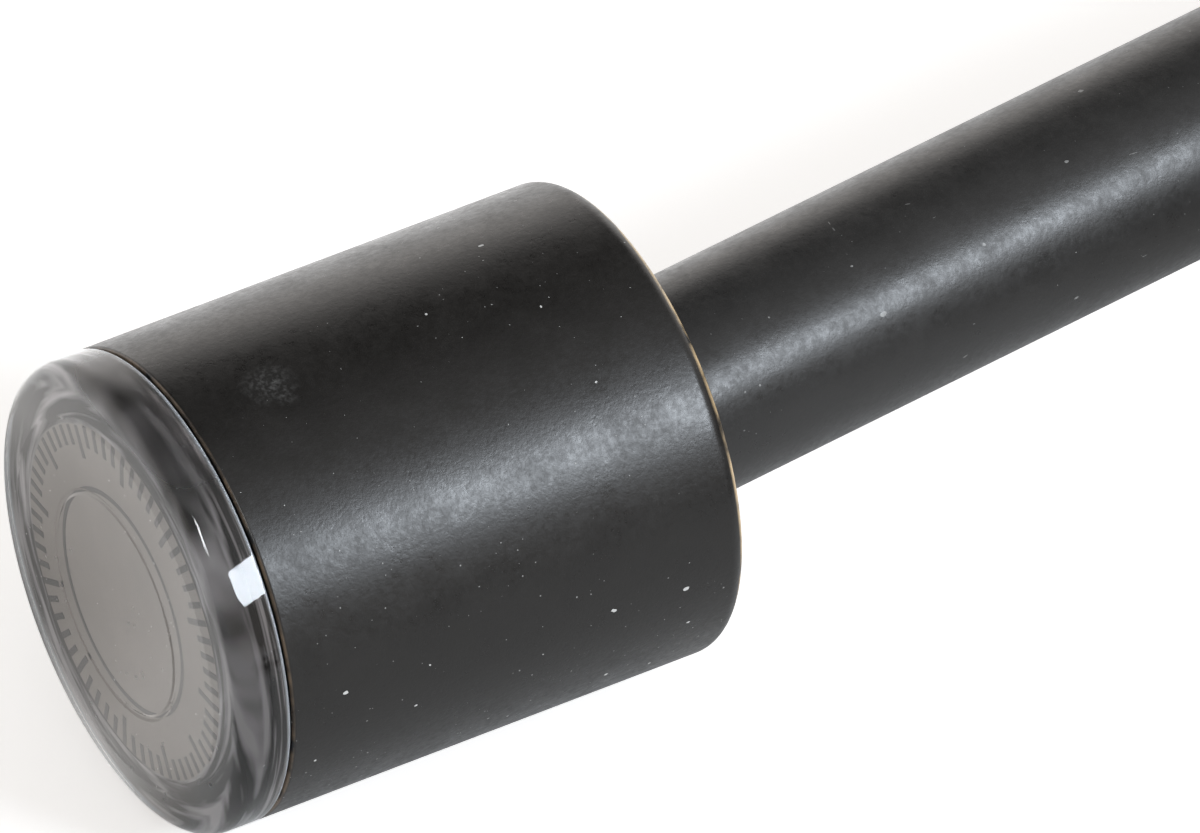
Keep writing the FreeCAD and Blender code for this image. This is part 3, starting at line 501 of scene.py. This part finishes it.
BODY_OF = {
    node: body
    for body, nodes in frame["record"]["behaviour"]["bodies"].items() for node in nodes
}
SLOT_OF = {part["node"]: part["material_slot"] for part in frame["record"]["subparts"]}
FINISH_OF = {
    "barrel_black": "barrel_satin",
    "clear_acrylic": "clear_cap",
    "core_dark": "core_face",
    "plunger_steel": "plated_steel",
    "brass": "turned_brass",
    "spring_steel": "drawn_steel",
    "black_rubber": "black_rubber",
    "sheath_black": "sheath_satin",
    "tip_chrome": "bright_chrome",
    "bush_nylon": "nylon",
}


def make_piece(name, mesh, node, crease=35.0, finish=None):
    """A finished piece at a CAD node's place: its finish, its body and its material slot."""
    mesh.name = name
    mesh.materials.clear()
    mesh.materials.append(finish_named(finish or FINISH_OF[SLOT_OF[node]]))
    mesh.shade_smooth()
    mesh.set_sharp_from_angle(angle=math.radians(crease))
    piece = bpy.data.objects.new(name, mesh)
    bpy.context.scene.collection.objects.link(piece)
    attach(piece, BODY_OF[node])
    return piece


def replace_node(name, mesh, node, crease=35.0):
    """A finished piece that stands for a CAD node."""
    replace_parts(make_piece(name, mesh, node, crease), node)


def dress_node(node):
    """Gives a CAD node that stays as it is its finish."""
    piece = frame["nodes"][node]
    piece.data.materials.clear()
    piece.data.materials.append(finish_named(FINISH_OF[SLOT_OF[node]]))


def softened(corners, steps=8):
    """A turned outline with its corners rounded: each has a place along, a radius and a rounding."""
    outline = []
    for i, (x, r, rounding) in enumerate(corners):
        here = Vector((x, r))
        if not rounding:
            outline.append((x, r))
            continue
        back = (Vector(corners[i - 1][:2]) - here).normalized()
        on = (Vector(corners[(i + 1) % len(corners)][:2]) - here).normalized()
        half = back.angle(on) / 2
        middle = here + (back + on).normalized() * rounding / math.sin(half)
        start = here + back * rounding / math.tan(half) - middle
        end = here + on * rounding / math.tan(half) - middle
        first = math.atan2(start.y, start.x)
        turn = (math.atan2(end.y, end.x) - first + math.pi) % (2 * math.pi) - math.pi
        for k in range(steps + 1):
            angle = first + turn * k / steps
            outline.append((middle.x + rounding * math.cos(angle), middle.y + rounding * math.sin(angle)))
    return outline


def mesh_from(shell):
    """A plain mesh from a bmesh, which is freed."""
    mesh = bpy.data.meshes.new("plain")
    shell.to_mesh(mesh)
    shell.free()
    return mesh


def skinned(shell, rings, closed=True):
    """A mesh with faces between neighbouring rings of points, of which one point alone is a pole."""
    for first, second in zip(rings, rings[1:] + (rings[:1] if closed else [])):
        count = max(len(first), len(second))
        if count == 1:
            continue
        for i in range(count):
            j = (i + 1) % count
            corners = [first[i % len(first)], first[j % len(first)],
                       second[j % len(second)], second[i % len(second)]]
            shell.faces.new(list(dict.fromkeys(corners)))
    bmesh.ops.recalc_face_normals(shell, faces=shell.faces)
    return mesh_from(shell)


def turned(outline, middle, segments, closed=True):
    """A mesh made by turning an outline about a line along X through the middle."""
    shell = bmesh.new()
    rings = []
    for x, r in outline:
        if r < 1e-9:
            rings.append([shell.verts.new((x, *middle))])
            continue
        rings.append([
            shell.verts.new((x, middle[0] + r * math.cos(a), middle[1] + r * math.sin(a)))
            for a in (2 * math.pi * i / segments for i in range(segments))
        ])
    return skinned(shell, rings, closed)


def smooth_fittings(nodes, crease=35.0):
    """Finished copies of CAD nodes whose shapes are right, their loose triangles joined and smooth."""
    for node in nodes:
        mesh = frame["nodes"][node].data.copy()
        shell = bmesh.new()
        shell.from_mesh(mesh)
        bmesh.ops.remove_doubles(shell, verts=shell.verts, dist=1e-7)
        shell.to_mesh(mesh)
        shell.free()
        replace_node(f"{node}_finished", mesh, node, crease)


def new_shape_tree(name, inputs):
    """A Geometry Nodes tree with named inputs: the tree, what it is given and its end's inputs."""
    tree = bpy.data.node_groups.new(name, "GeometryNodeTree")
    tree.interface.new_socket("Geometry", in_out="INPUT", socket_type="NodeSocketGeometry")
    for label, kind, value in inputs:
        socket = tree.interface.new_socket(label, in_out="INPUT", socket_type=f"NodeSocket{kind}")
        socket.default_value = value
    tree.interface.new_socket("Geometry", in_out="OUTPUT", socket_type="NodeSocketGeometry")
    return tree, tree.nodes.new("NodeGroupInput").outputs, tree.nodes.new("NodeGroupOutput").inputs


def end_shape_tree(tree, out, geometry, material):
    """Ends a tree in plain geometry with its material."""
    plain = made(tree, "GeometryNodeRealizeInstances", {0: geometry})
    feed(tree, out, Geometry=made(tree, "GeometryNodeSetMaterial", {0: plain, "Material": material}))


def stood_up(tree, geometry, place):
    """Geometry that was made round Z, turned to run along X towards the thumb, and put in its place."""
    return made(tree, "GeometryNodeTransform", {"Geometry": geometry, "Translation": place,
                                                "Rotation": (0.0, math.radians(-90.0), 0.0)})


def grown(name, tree, values, start=None):
    """The mesh that a tree makes with these values."""
    holder = bpy.data.objects.new(f"{name}_holder", start or bpy.data.meshes.new(name))
    bpy.context.scene.collection.objects.link(holder)
    growing = holder.modifiers.new("grow", "NODES")
    growing.node_group = tree
    for item in tree.interface.items_tree:
        if item.in_out == "INPUT" and item.name in values:
            growing[item.identifier] = values[item.name]
    bpy.context.view_layer.update()
    ready = holder.evaluated_get(bpy.context.evaluated_depsgraph_get())
    mesh = bpy.data.meshes.new_from_object(ready)
    holder.modifiers.remove(growing)
    bpy.data.objects.remove(holder)
    if not mesh.polygons:
        raise RuntimeError(f"{name} came out empty")
    return mesh


# ---------------------------------------------------------------- the cable's route

def inward_steps(turn):
    """How many steps inwards the coil has come: steady, and rounded where it turns outwards."""
    done = min(turn, COIL_TURNS - turn)
    return done - 2 * max(0.0, done - 1.0) ** 2


def coil_place(sizes, turn, reach=1.0):
    """A place on the coil, clockwise from above, from the floor layer up to the second one."""
    radius = (sizes.coil_radius - sizes.coil_step * inward_steps(turn)) * reach
    climb = min(1.0, max(0.0, (turn - CLIMB_START) / CLIMB_TURNS))
    angle = math.pi / 2 - 2 * math.pi * turn
    return Vector((COIL_MIDDLE[0] + radius * math.cos(angle), COIL_MIDDLE[1] + radius * math.sin(angle),
                   sizes.coil_height + sizes.coil_layer * climb ** 2 * (3 - 2 * climb)))


def cable_route(sizes):
    """Listed points from the barrel to the floor, the coil's turns, and the run to the tip."""
    low, high = sizes.coil_height, sizes.coil_height + sizes.coil_layer
    tip_y, tip_z = TIP_MIDDLE
    lead = [(0.005888, -0.000242, AXIS_HEIGHT), (0.02269, 0.001790, AXIS_HEIGHT),
            (0.035671, 0.003362, AXIS_HEIGHT), (0.0485, 0.0042, low), (0.0575, 0.0042, low)]
    count = int(COIL_TURNS * POINTS_PER_TURN)
    outside = 1 / math.cos(math.pi / POINTS_PER_TURN)
    coil = [coil_place(sizes, (i + 0.5) / POINTS_PER_TURN, outside) for i in range(count)]
    tail = [(0.0575, tip_y, high), (0.0455, tip_y, high), (0.028443, tip_y, tip_z),
            (CABLE_END_X, tip_y, tip_z)]
    return lead + coil + tail


# ---------------------------------------------------------------- operators

class RELEASE_OT_finishes(Operator):
    """Make the shared shader groups and every finish"""

    bl_idname = "release.finishes"
    bl_label = "Finishes"

    def execute(self, context):
        sizes, c = context.scene.release_sizes, context.scene.release_colours
        make_grain_group()
        make_dust_group()
        make_edge_group()
        make_turning_group()
        seam_band = {"Near": SEAM_X, "Width": 0.00005, "Depth": 0.00012, "Breaks": 1500.0}
        # the back edge's band: worn bare metal, and partly a painted glint along its rounding
        back_wear_and_glint = {"Near": BACK_X - 0.00010, "Width": 0.00011, "Depth": 0.0006, "Breaks": 1300.0}
        make_satin_black("barrel_satin", c.barrel, c.dust, grain=11000.0, roughness=0.34, gloss=1.43,
                         dusty=1.0, edges=((c.worn, seam_band), (c.bare, back_wear_and_glint)))
        make_satin_black("sheath_satin", c.cable, c.dust, grain=9500.0, roughness=0.35, gloss=1.44,
                         dusty=0.35)
        make_metal("plated_steel", c.steel, [v * 0.8 for v in c.steel], roughness=0.16, marks=14000.0)
        make_metal("turned_brass", c.brass, c.stained_brass, roughness=0.24, marks=11000.0)
        make_metal("drawn_steel", c.wire, [v * 0.65 for v in c.wire], roughness=0.3, marks=16000.0)
        make_metal("bright_chrome", c.chrome, [v * 0.82 for v in c.chrome], roughness=0.09, marks=15000.0)
        make_matt("black_rubber", c.rubber, c.dull_dust, roughness=0.62, grain=7000.0, depth=0.00003)
        make_matt("nylon", c.nylon, c.dull_dust, roughness=0.48, grain=9000.0, depth=0.00001)
        make_matt("mark_paint", c.mark, c.dull_dust, roughness=0.5, grain=9000.0, depth=0.000005)
        make_clear("clear_cap", c.clear, c.clear_dim)
        make_core_finish("core_face", sizes, c)
        return {"FINISHED"}


class RELEASE_OT_cable(Operator):
    """Lay the sheathed cable from the barrel to the tip, with its tied coil"""

    bl_idname = "release.cable"
    bl_label = "Cable"

    def execute(self, context):
        sizes = context.scene.release_sizes
        radius = sizes.cable_diameter / 2
        line = bpy.data.curves.new("sheathed_cable", "CURVE")
        line.dimensions = "3D"
        line.bevel_depth = radius
        line.bevel_resolution = 28
        line.use_fill_caps = True
        route = cable_route(sizes)
        spline = line.splines.new("NURBS")
        spline.points.add(len(route) - 1)
        for point, place in zip(spline.points, route):
            point.co = (*place, 1.0)
        spline.order_u = 3
        spline.use_endpoint_u = True
        spline.resolution_u = 12
        line.materials.append(finish_named("sheath_satin"))
        piece = bpy.data.objects.new("sheathed_cable", line)
        context.scene.collection.objects.link(piece)
        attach(piece, "grip")
        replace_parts(piece, "sheath_lead", "sheath_coil", "sheath_tail")

        face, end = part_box("sheath_tail")[0].x, CABLE_END_X + CABLE_END_OVERLAP
        outline = softened([(face, sizes.pin_room, 0), (face, radius, 0.00015), (end, radius, 0),
                            (end, sizes.pin_room, 0)])
        make_piece("cable_end", turned(outline, TIP_MIDDLE, segments=96), "sheath_tail")
        return {"FINISHED"}


class RELEASE_OT_barrel(Operator):
    """Turn the black finger-grip barrel"""

    bl_idname = "release.barrel"
    bl_label = "Barrel"

    def execute(self, context):
        sizes = context.scene.release_sizes
        chamber = HEAD_RADIUS - sizes.barrel_wall
        mouth, wall = chamber + sizes.mouth_step, BACK_X - sizes.rear_wall
        mouth_end = SEAM_X + sizes.mouth_depth
        outline = softened([
            (SEAM_X, HEAD_RADIUS, sizes.seam_bevel), (BACK_X, HEAD_RADIUS, sizes.barrel_rounding),
            (BACK_X, sizes.rear_hole, EDGE_BREAK), (wall, sizes.rear_hole, 0), (wall, chamber, 0),
            (mouth_end, chamber, 0), (mouth_end, mouth, 0), (SEAM_X, mouth, EDGE_BREAK),
        ], steps=12)
        shell = turned(outline, HEAD_MIDDLE, segments=256)
        replace_node("barrel_shell", shell, "barrel", crease=50.0)
        return {"FINISHED"}


class RELEASE_OT_cap(Operator):
    """Turn the clear cap of the thumb button"""

    bl_idname = "release.cap"
    bl_label = "Clear cap"

    def execute(self, context):
        sizes = context.scene.release_sizes
        front, back = CAP_FRONT_X, CAP_FRONT_X + sizes.cap_depth
        inner, floor = CORE_RADIUS - sizes.cap_bond, CORE_LOW.x + sizes.cap_bond
        ring, cut = sizes.ring_radius, sizes.cap_groove
        outline = softened([
            (front, 0.0, 0), (front, ring - cut * 3, EDGE_BREAK), (front + cut, ring - cut, FINE_BREAK),
            (front + cut, ring + cut, FINE_BREAK), (front, ring + cut * 3, EDGE_BREAK),
            (front, HEAD_RADIUS - sizes.cap_rim_width, CAP_FACE_ROUNDING),
            (front + sizes.cap_slope, HEAD_RADIUS, sizes.cap_rounding),
            (back, HEAD_RADIUS, CAP_BACK_ROUNDING), (back, inner, 0), (floor, inner, 0), (floor, 0.0, 0),
        ], steps=10)
        cap = turned(outline, HEAD_MIDDLE, segments=256, closed=False)
        replace_node("clear_cap", cap, "thumb_cap", crease=40.0)
        return {"FINISHED"}


class RELEASE_OT_core(Operator):
    """Turn the moulded core that shows through the cap"""

    bl_idname = "release.core"
    bl_label = "Core"

    def execute(self, context):
        front, back = CORE_LOW.x, CORE_HIGH.x + FLANGE_STEP
        flange = CORE_HIGH.x - context.scene.release_sizes.backing
        outline = softened([
            (front, 0.0, 0), (front, CORE_RADIUS, FINE_BREAK), (flange, CORE_RADIUS, 0),
            (flange, HEAD_RADIUS - FLANGE_INSET, 0), (back, HEAD_RADIUS - FLANGE_INSET, 0),
            (back, CORE_HOLE, 0), (front + CORE_SKIN, CORE_HOLE, 0), (front + CORE_SKIN, 0.0, 0),
        ], steps=5)
        disc = turned(outline, HEAD_MIDDLE, segments=192, closed=False)
        replace_node("core_disc", disc, "button_core", crease=40.0)
        return {"FINISHED"}


def make_mark_tree(material):
    """Radial marks round a circle, every fifth one long, and a plain ring inside them."""
    tree, given, out = new_shape_tree("mark_ring", [
        ("Count", "Int", 60), ("Outer Radius", "Float", 0.0045), ("Long", "Float", 0.00084),
        ("Width", "Float", 0.00013), ("Relief", "Float", 0.00003), ("Ring Radius", "Float", 0.00287),
        ("Place", "Vector", (0.0, 0.0, 0.0)),
    ])
    circle = made(tree, "GeometryNodeMeshCircle", {"Vertices": given["Count"],
                                                   "Radius": given["Outer Radius"]})
    outwards = made(tree, "FunctionNodeAlignRotationToVector",
                    {"Vector": made(tree, "GeometryNodeInputPosition")}, axis="Y")
    fifth = maths(tree, "MODULO", made(tree, "GeometryNodeInputIndex"), 5.0)
    is_long = made(tree, "FunctionNodeCompare", {0: fifth, 1: 0.5}, operation="LESS_THAN")
    is_short = made(tree, "FunctionNodeBooleanMath", {0: is_long}, operation="NOT")
    parts = add(tree, "GeometryNodeJoinGeometry")
    for chosen, share in ((is_long, 1.0), (is_short, 0.62)):
        reach = times(tree, given["Long"], share)
        size = made(tree, "ShaderNodeCombineXYZ", {0: given["Width"], 1: reach, 2: given["Relief"]})
        inwards = made(tree, "ShaderNodeCombineXYZ", {1: times(tree, reach, -0.5)})
        bar = made(tree, "GeometryNodeTransform", {
            "Geometry": made(tree, "GeometryNodeMeshCube", {"Size": size}), "Translation": inwards})
        marks = made(tree, "GeometryNodeInstanceOnPoints", {
            "Points": circle, "Selection": chosen, "Instance": bar, "Rotation": outwards})
        tree.links.new(marks, parts.inputs[0])
    line = made(tree, "GeometryNodeCurvePrimitiveCircle", {"Resolution": 96,
                                                           "Radius": given["Ring Radius"]})
    section = made(tree, "GeometryNodeCurvePrimitiveQuadrilateral", {
        "Width": times(tree, given["Width"], 0.8), "Height": given["Relief"]})
    ring = made(tree, "GeometryNodeCurveToMesh", {"Curve": line, "Profile Curve": section})
    tree.links.new(ring, parts.inputs[0])
    end_shape_tree(tree, out, stood_up(tree, parts.outputs[0], given["Place"]), material)
    return tree


class RELEASE_OT_marks(Operator):
    """Set the plain ring of marks on the core"""

    bl_idname = "release.marks"
    bl_label = "Marks"

    def execute(self, context):
        sizes = context.scene.release_sizes
        tree = make_mark_tree(finish_named("mark_paint"))
        mesh = grown("core_marks", tree, {
            "Count": sizes.mark_count, "Outer Radius": sizes.mark_outer, "Long": sizes.mark_length,
            "Width": sizes.mark_width, "Relief": sizes.mark_relief, "Ring Radius": sizes.ring_radius,
            "Place": (CORE_LOW.x - sizes.mark_relief / 2, 0.0, AXIS_HEIGHT)})
        make_piece("core_marks", mesh, "button_core", crease=30.0, finish="mark_paint")
        return {"FINISHED"}


class RELEASE_OT_head_fittings(Operator):
    """Finish the plunger, bushes and rings in the head"""

    bl_idname = "release.head_fittings"
    bl_label = "Head fittings"

    def execute(self, context):
        smooth_fittings(["plunger", "guide_bush", "rear_bush"])
        smooth_fittings(["sheath_ferrule"], crease=62.0)
        for node in ("wire_nipple", "inner_wire", "detent_ring", "stop_washer", "return_spring",
                     "spring_seat", "guide_tube"):
            dress_node(node)
        return {"FINISHED"}


def make_thread_tree(material):
    """A right-handed tapered screw thread: a conical spiral with a rounded section."""
    tree, given, out = new_shape_tree("tapered_thread", [
        ("Turns", "Float", 10.0), ("Root Radius", "Float", NOSE_ROOT_RADIUS),
        ("End Radius", "Float", NOSE_END_RADIUS), ("Length", "Float", 0.005),
        ("Depth", "Float", 0.00013), ("Place", "Vector", (0.0, 0.0, 0.0)),
    ])
    spiral = made(tree, "GeometryNodeCurveSpiral", {
        "Resolution": 40, "Rotations": given["Turns"], "Start Radius": given["Root Radius"],
        "End Radius": given["End Radius"], "Height": given["Length"], "Reverse": True})
    section = made(tree, "GeometryNodeCurvePrimitiveCircle", {"Resolution": 6, "Radius": given["Depth"]})
    ridge = made(tree, "GeometryNodeCurveToMesh", {"Curve": spiral, "Profile Curve": section,
                                                   "Fill Caps": True})
    end_shape_tree(tree, out, stood_up(tree, ridge, given["Place"]), material)
    return tree


class RELEASE_OT_tip(Operator):
    """Finish the screw-in tip, its strain relief and its pin, and cut the thread on the nose"""

    bl_idname = "release.tip"
    bl_label = "Tip"

    def execute(self, context):
        sizes = context.scene.release_sizes
        smooth_fittings(TIP_NODES, crease=32.0)
        dress_node("tip_wire")
        start, end = COLLAR_FACE_X - THREAD_OFF_COLLAR, NOSE_END_X + THREAD_OFF_END
        tree = make_thread_tree(finish_named("bright_chrome"))
        taper = (NOSE_ROOT_RADIUS - NOSE_END_RADIUS) / (COLLAR_FACE_X - NOSE_END_X)
        mesh = grown("nose_thread", tree, {
            "Turns": (start - end) / sizes.thread_pitch, "Length": start - end,
            "Root Radius": NOSE_ROOT_RADIUS - taper * (COLLAR_FACE_X - start),
            "End Radius": NOSE_ROOT_RADIUS - taper * (COLLAR_FACE_X - end),
            "Depth": sizes.thread_depth, "Place": (start, *TIP_MIDDLE)})
        make_piece("nose_thread", mesh, "tip_nose", crease=60.0)
        return {"FINISHED"}


def strap_line(sizes, offset):
    """The closed line round the three strands at the coil's far side, with its outward directions."""
    strands = [coil_place(sizes, turn) for turn in STRAPPED_TURNS]
    reach = sizes.cable_diameter / 2 + offset
    places, outwards = [], []
    for i, strand in enumerate(strands):
        before, after = strands[i - 1], strands[(i + 1) % 3]
        facing = []
        for a, b in ((before, strand), (strand, after)):
            run = (b - a).normalized()
            facing.append(math.atan2(-run.x, run.z))
        turn = (facing[1] - facing[0]) % (2 * math.pi)
        for k in range(STRAP_CORNER_STEPS + 1):
            angle = facing[0] + turn * k / STRAP_CORNER_STEPS
            out = Vector((math.cos(angle), 0.0, math.sin(angle)))
            outwards.append(out)
            places.append(Vector((strand.x, COIL_MIDDLE[1], strand.z)) + out * reach)
    return places, outwards


def make_rib_tree(material):
    """Ribs laid across a band, evenly along a closed line."""
    tree, given, out = new_shape_tree("strap_ribs", [
        ("Spacing", "Float", 0.0011), ("Rib Width", "Float", 0.0036),
        ("Rib Height", "Float", RIB_HEIGHT)])
    line = made(tree, "GeometryNodeMeshToCurve", {0: given["Geometry"]})
    even = made(tree, "GeometryNodeResampleCurve", {"Curve": line, "Length": given["Spacing"]},
                mode="LENGTH")
    rod = made(tree, "GeometryNodeMeshCylinder", {"Vertices": 10, "Radius": given["Rib Height"],
                                                  "Depth": given["Rib Width"]})
    ribs = made(tree, "GeometryNodeInstanceOnPoints", {
        "Points": even, "Instance": rod, "Rotation": (math.radians(90.0), 0.0, 0.0)})
    end_shape_tree(tree, out, ribs, material)
    return tree


class RELEASE_OT_strap(Operator):
    """Wrap the ribbed rubber strap round the coil"""

    bl_idname = "release.strap"
    bl_label = "Coil strap"

    def execute(self, context):
        sizes = context.scene.release_sizes
        thick, wide, edge = sizes.strap_thickness, sizes.strap_width / 2, STRAP_EDGE
        places, outwards = strap_line(sizes, STRAP_GAP)
        section = [(0.0, -wide + edge), (0.0, wide - edge), (edge, wide), (thick - edge, wide),
                   (thick, wide - edge), (thick, -wide + edge), (thick - edge, -wide), (edge, -wide)]
        band = bmesh.new()
        rings = [
            [band.verts.new(place + out * up + Vector((0.0, across, 0.0))) for up, across in section]
            for place, out in zip(places, outwards)
        ]
        replace_node("coil_strap", skinned(band, rings), "coil_tie", crease=40.0)

        outside, _ = strap_line(sizes, STRAP_GAP + thick)
        guide = bpy.data.meshes.new("strap_outside")
        count = len(outside)
        guide.from_pydata(outside, [(i, (i + 1) % count) for i in range(count)], [])
        tree = make_rib_tree(finish_named("black_rubber"))
        ribs = grown("strap_ribs", tree, {
            "Spacing": sizes.rib_spacing, "Rib Width": sizes.strap_width * RIB_SHARE,
            "Rib Height": RIB_HEIGHT}, start=guide)
        make_piece("strap_ribs", ribs, "coil_tie", crease=40.0)
        return {"FINISHED"}


class RELEASE_OT_declare(Operator):
    bl_idname = "release.declare"
    bl_label = "Cable facts"

    def execute(self, context):
        return {"FINISHED"}


# ---------------------------------------------------------------- the stage

# the camera: far off, with a long lens, at the photograph's angle
LENS_MILLIMETRES, SENSOR_MILLIMETRES = 1081.0, 36.0
CAMERA_DISTANCE = 0.86
PICTURE_MIDDLE = (0.00470, -0.00286, 0.00903)
PICTURE_RIGHT, PICTURE_UP = (0.866, -0.5, 0.0), (0.3274, 0.5670, 0.7559)

# the lamps: what they are aimed at
HEAD_AIM = (0.002, 0.0, AXIS_HEIGHT)
CAP_RIM_AIM = (-0.0071, -0.0036, 0.0108)

# how strongly the surround lights the object, and its warm tint low down where metal and glass show it
SURROUND_LIGHT, LOW_TINT = 0.49, (1.0, 0.955, 0.92)

# the floor: its size, its own light for the camera and that light's tint, the middle of the dim patch
# that the cap shows, and how far X runs for each metre of Y along the camera's line of sight
FLOOR_RADIUS = 60.0
FLOOR_LIGHT, FLOOR_TINT = 0.56, (1.0, 0.975, 0.955)
DIM_PATCH = (-0.0045, 0.0095, 0.0)
SIGHT_SLANT = 0.577


def add_softbox(name, direction, distance, wide, high, radiance, tint, aim, diffuse=True):
    """A soft lamp of even brightness, turned towards what it lights, or only mirrored there."""
    lamp = bpy.data.lights.new(name, "AREA")
    lamp.shape = "RECTANGLE"
    lamp.size, lamp.size_y = wide, high
    lamp.energy = radiance * math.pi * wide * high
    lamp.color = tint
    box = bpy.data.objects.new(name, lamp)
    way = Vector(direction).normalized()
    box.location = Vector(aim) + way * distance
    box.rotation_mode = "QUATERNION"
    box.rotation_quaternion = (-way).to_track_quat("-Z", "Y")
    box.visible_camera = False
    box.visible_diffuse = diffuse
    bpy.context.scene.collection.objects.link(box)


def mirrored_rays(tree, rays):
    """A mask of what metal and glass show."""
    return most(tree, rays["Is Glossy Ray"], rays["Is Transmission Ray"])


def make_world():
    """A surround that is white to the camera, and in reflections bright low down behind, dim overhead."""
    world = bpy.data.worlds.new("studio")
    bpy.context.scene.world = world
    world.use_nodes = True
    tree = world.node_tree
    rays = tree.nodes.new("ShaderNodeLightPath").outputs
    facing = split(tree, tree.nodes.new("ShaderNodeTexCoord").outputs["Generated"])
    low = ranged(tree, facing["Z"], 1.0, 0.0, 0.38, 0.53)
    rise = ranged(tree, facing["Z"], 2.05, 1.60, 0.05, 0.32)
    wall = ranged(tree, facing["Y"], 0.75, rise, -0.10, 0.35)
    overhead = ranged(tree, facing["Y"], 0.85, 0.06, -0.45, 0.35)
    sharp = mirrored_rays(tree, rays)
    lit = mixed(tree, SURROUND_LIGHT, mixed(tree, overhead, wall, low), sharp)
    feed(tree, tree.nodes["Background"].inputs, Strength=mixed(tree, lit, 1.0, rays["Is Camera Ray"]),
         Color=blended(tree, solid((1.0, 1.0, 1.0)), solid(LOW_TINT), times(tree, sharp, low)))


def make_floor(tint):
    """A wide pale floor that keeps the shadow, and that metal and glass show shining behind the head."""
    tree, surface = new_material("studio_floor", Roughness=0.85, Base_Color=solid(tint),
                                 Specular_IOR_Level=0.1, Emission_Color=solid(FLOOR_TINT))
    rays = tree.nodes.new("ShaderNodeLightPath").outputs
    place = object_place(tree)
    spot = split(tree, place)
    beyond = maths(tree, "SUBTRACT", spot["Y"], ranged(tree, spot["X"], 0.0, 0.010, -0.006, 0.006))
    past_head = maths(tree, "SUBTRACT", spot["X"], times(tree, spot["Y"], SIGHT_SLANT))
    behind = ranged(tree, beyond, 0.0, 1.0, -0.0025, 0.0005)
    undimmed = ranged(tree, vectors(tree, "DISTANCE", place, DIM_PATCH), 0.1, 1.0, 0.0045, 0.0085)
    fading = ranged(tree, past_head, 1.0, 0.62, 0.006, 0.011)
    shine = times(tree, times(tree, behind, undimmed), fading)
    feed(tree, surface, Emission_Strength=maths(
        tree, "ADD", times(tree, rays["Is Camera Ray"], FLOOR_LIGHT),
        times(tree, mirrored_rays(tree, rays), shine)))
    ground = bmesh.new()
    bmesh.ops.create_circle(ground, cap_ends=True, radius=FLOOR_RADIUS, segments=96)
    mesh = mesh_from(ground)
    mesh.materials.append(finish_named("studio_floor"))
    floor = bpy.data.objects.new("floor", mesh)
    bpy.context.scene.collection.objects.link(floor)


def make_camera():
    """The camera, at the photograph's angle."""
    right = Vector(PICTURE_RIGHT).normalized()
    into = Vector(PICTURE_UP).cross(right).normalized()
    up = right.cross(into).normalized()
    lens = bpy.data.cameras.new("camera")
    lens.lens, lens.sensor_width = LENS_MILLIMETRES, SENSOR_MILLIMETRES
    lens.clip_start, lens.clip_end = 0.05, 100.0
    camera = bpy.data.objects.new("camera", lens)
    camera.location = Vector(PICTURE_MIDDLE) - into * CAMERA_DISTANCE
    camera.rotation_mode = "QUATERNION"
    camera.rotation_quaternion = Matrix((right, up, -into)).transposed().to_quaternion()
    bpy.context.scene.collection.objects.link(camera)
    bpy.context.scene.camera = camera


class RELEASE_OT_stage(Operator):
    """Set the floor, the surround, the lamps and the camera"""

    bl_idname = "release.stage"
    bl_label = "Stage"

    def execute(self, context):
        context.scene.view_settings.view_transform = "Standard"
        make_floor(context.scene.release_colours.floor)
        make_world()
        add_softbox("main_softbox", direction=(0.458, -0.7175, 0.516), distance=0.70, wide=0.30,
                    high=0.20, radiance=23.0, tint=(0.85, 0.92, 1.0), aim=HEAD_AIM)
        add_softbox("edge_strip", direction=(-0.604, -0.366, 0.70), distance=0.50, wide=0.06,
                    high=0.16, radiance=22.0, tint=(0.95, 0.98, 1.0), aim=CAP_RIM_AIM, diffuse=False)
        make_camera()
        return {"FINISHED"}


# the order in which they run
OPERATORS = (
    RELEASE_OT_finishes, RELEASE_OT_stage, RELEASE_OT_cable, RELEASE_OT_barrel, RELEASE_OT_cap,
    RELEASE_OT_core, RELEASE_OT_marks, RELEASE_OT_head_fittings, RELEASE_OT_tip, RELEASE_OT_strap,
    RELEASE_OT_declare,
)


class RELEASE_PT_panel(Panel):
    """Sizes, colours and pieces of the cable release"""

    bl_idname = "RELEASE_PT_panel"
    bl_label = "Cable Release"
    bl_space_type = "VIEW_3D"
    bl_region_type = "UI"
    bl_category = "Release"

    def draw(self, context):
        layout = self.layout
        for group in (context.scene.release_sizes, context.scene.release_colours):
            box = layout.box()
            for name in group.__annotations__:
                box.prop(group, name)
        for operator in OPERATORS:
            layout.operator(operator.bl_idname)


CLASSES = (ReleaseSizes, ReleaseColours, *OPERATORS, RELEASE_PT_panel)


def register():
    for item in CLASSES:
        bpy.utils.register_class(item)
    bpy.types.Scene.release_sizes = PointerProperty(type=ReleaseSizes)
    bpy.types.Scene.release_colours = PointerProperty(type=ReleaseColours)


def unregister():
    del bpy.types.Scene.release_colours
    del bpy.types.Scene.release_sizes
    for item in reversed(CLASSES):
        bpy.utils.unregister_class(item)


def main():
    register()
    for operator in OPERATORS:
        getattr(bpy.ops.release, operator.bl_idname.split(".")[1])()


if __name__ == "__main__":
    main()
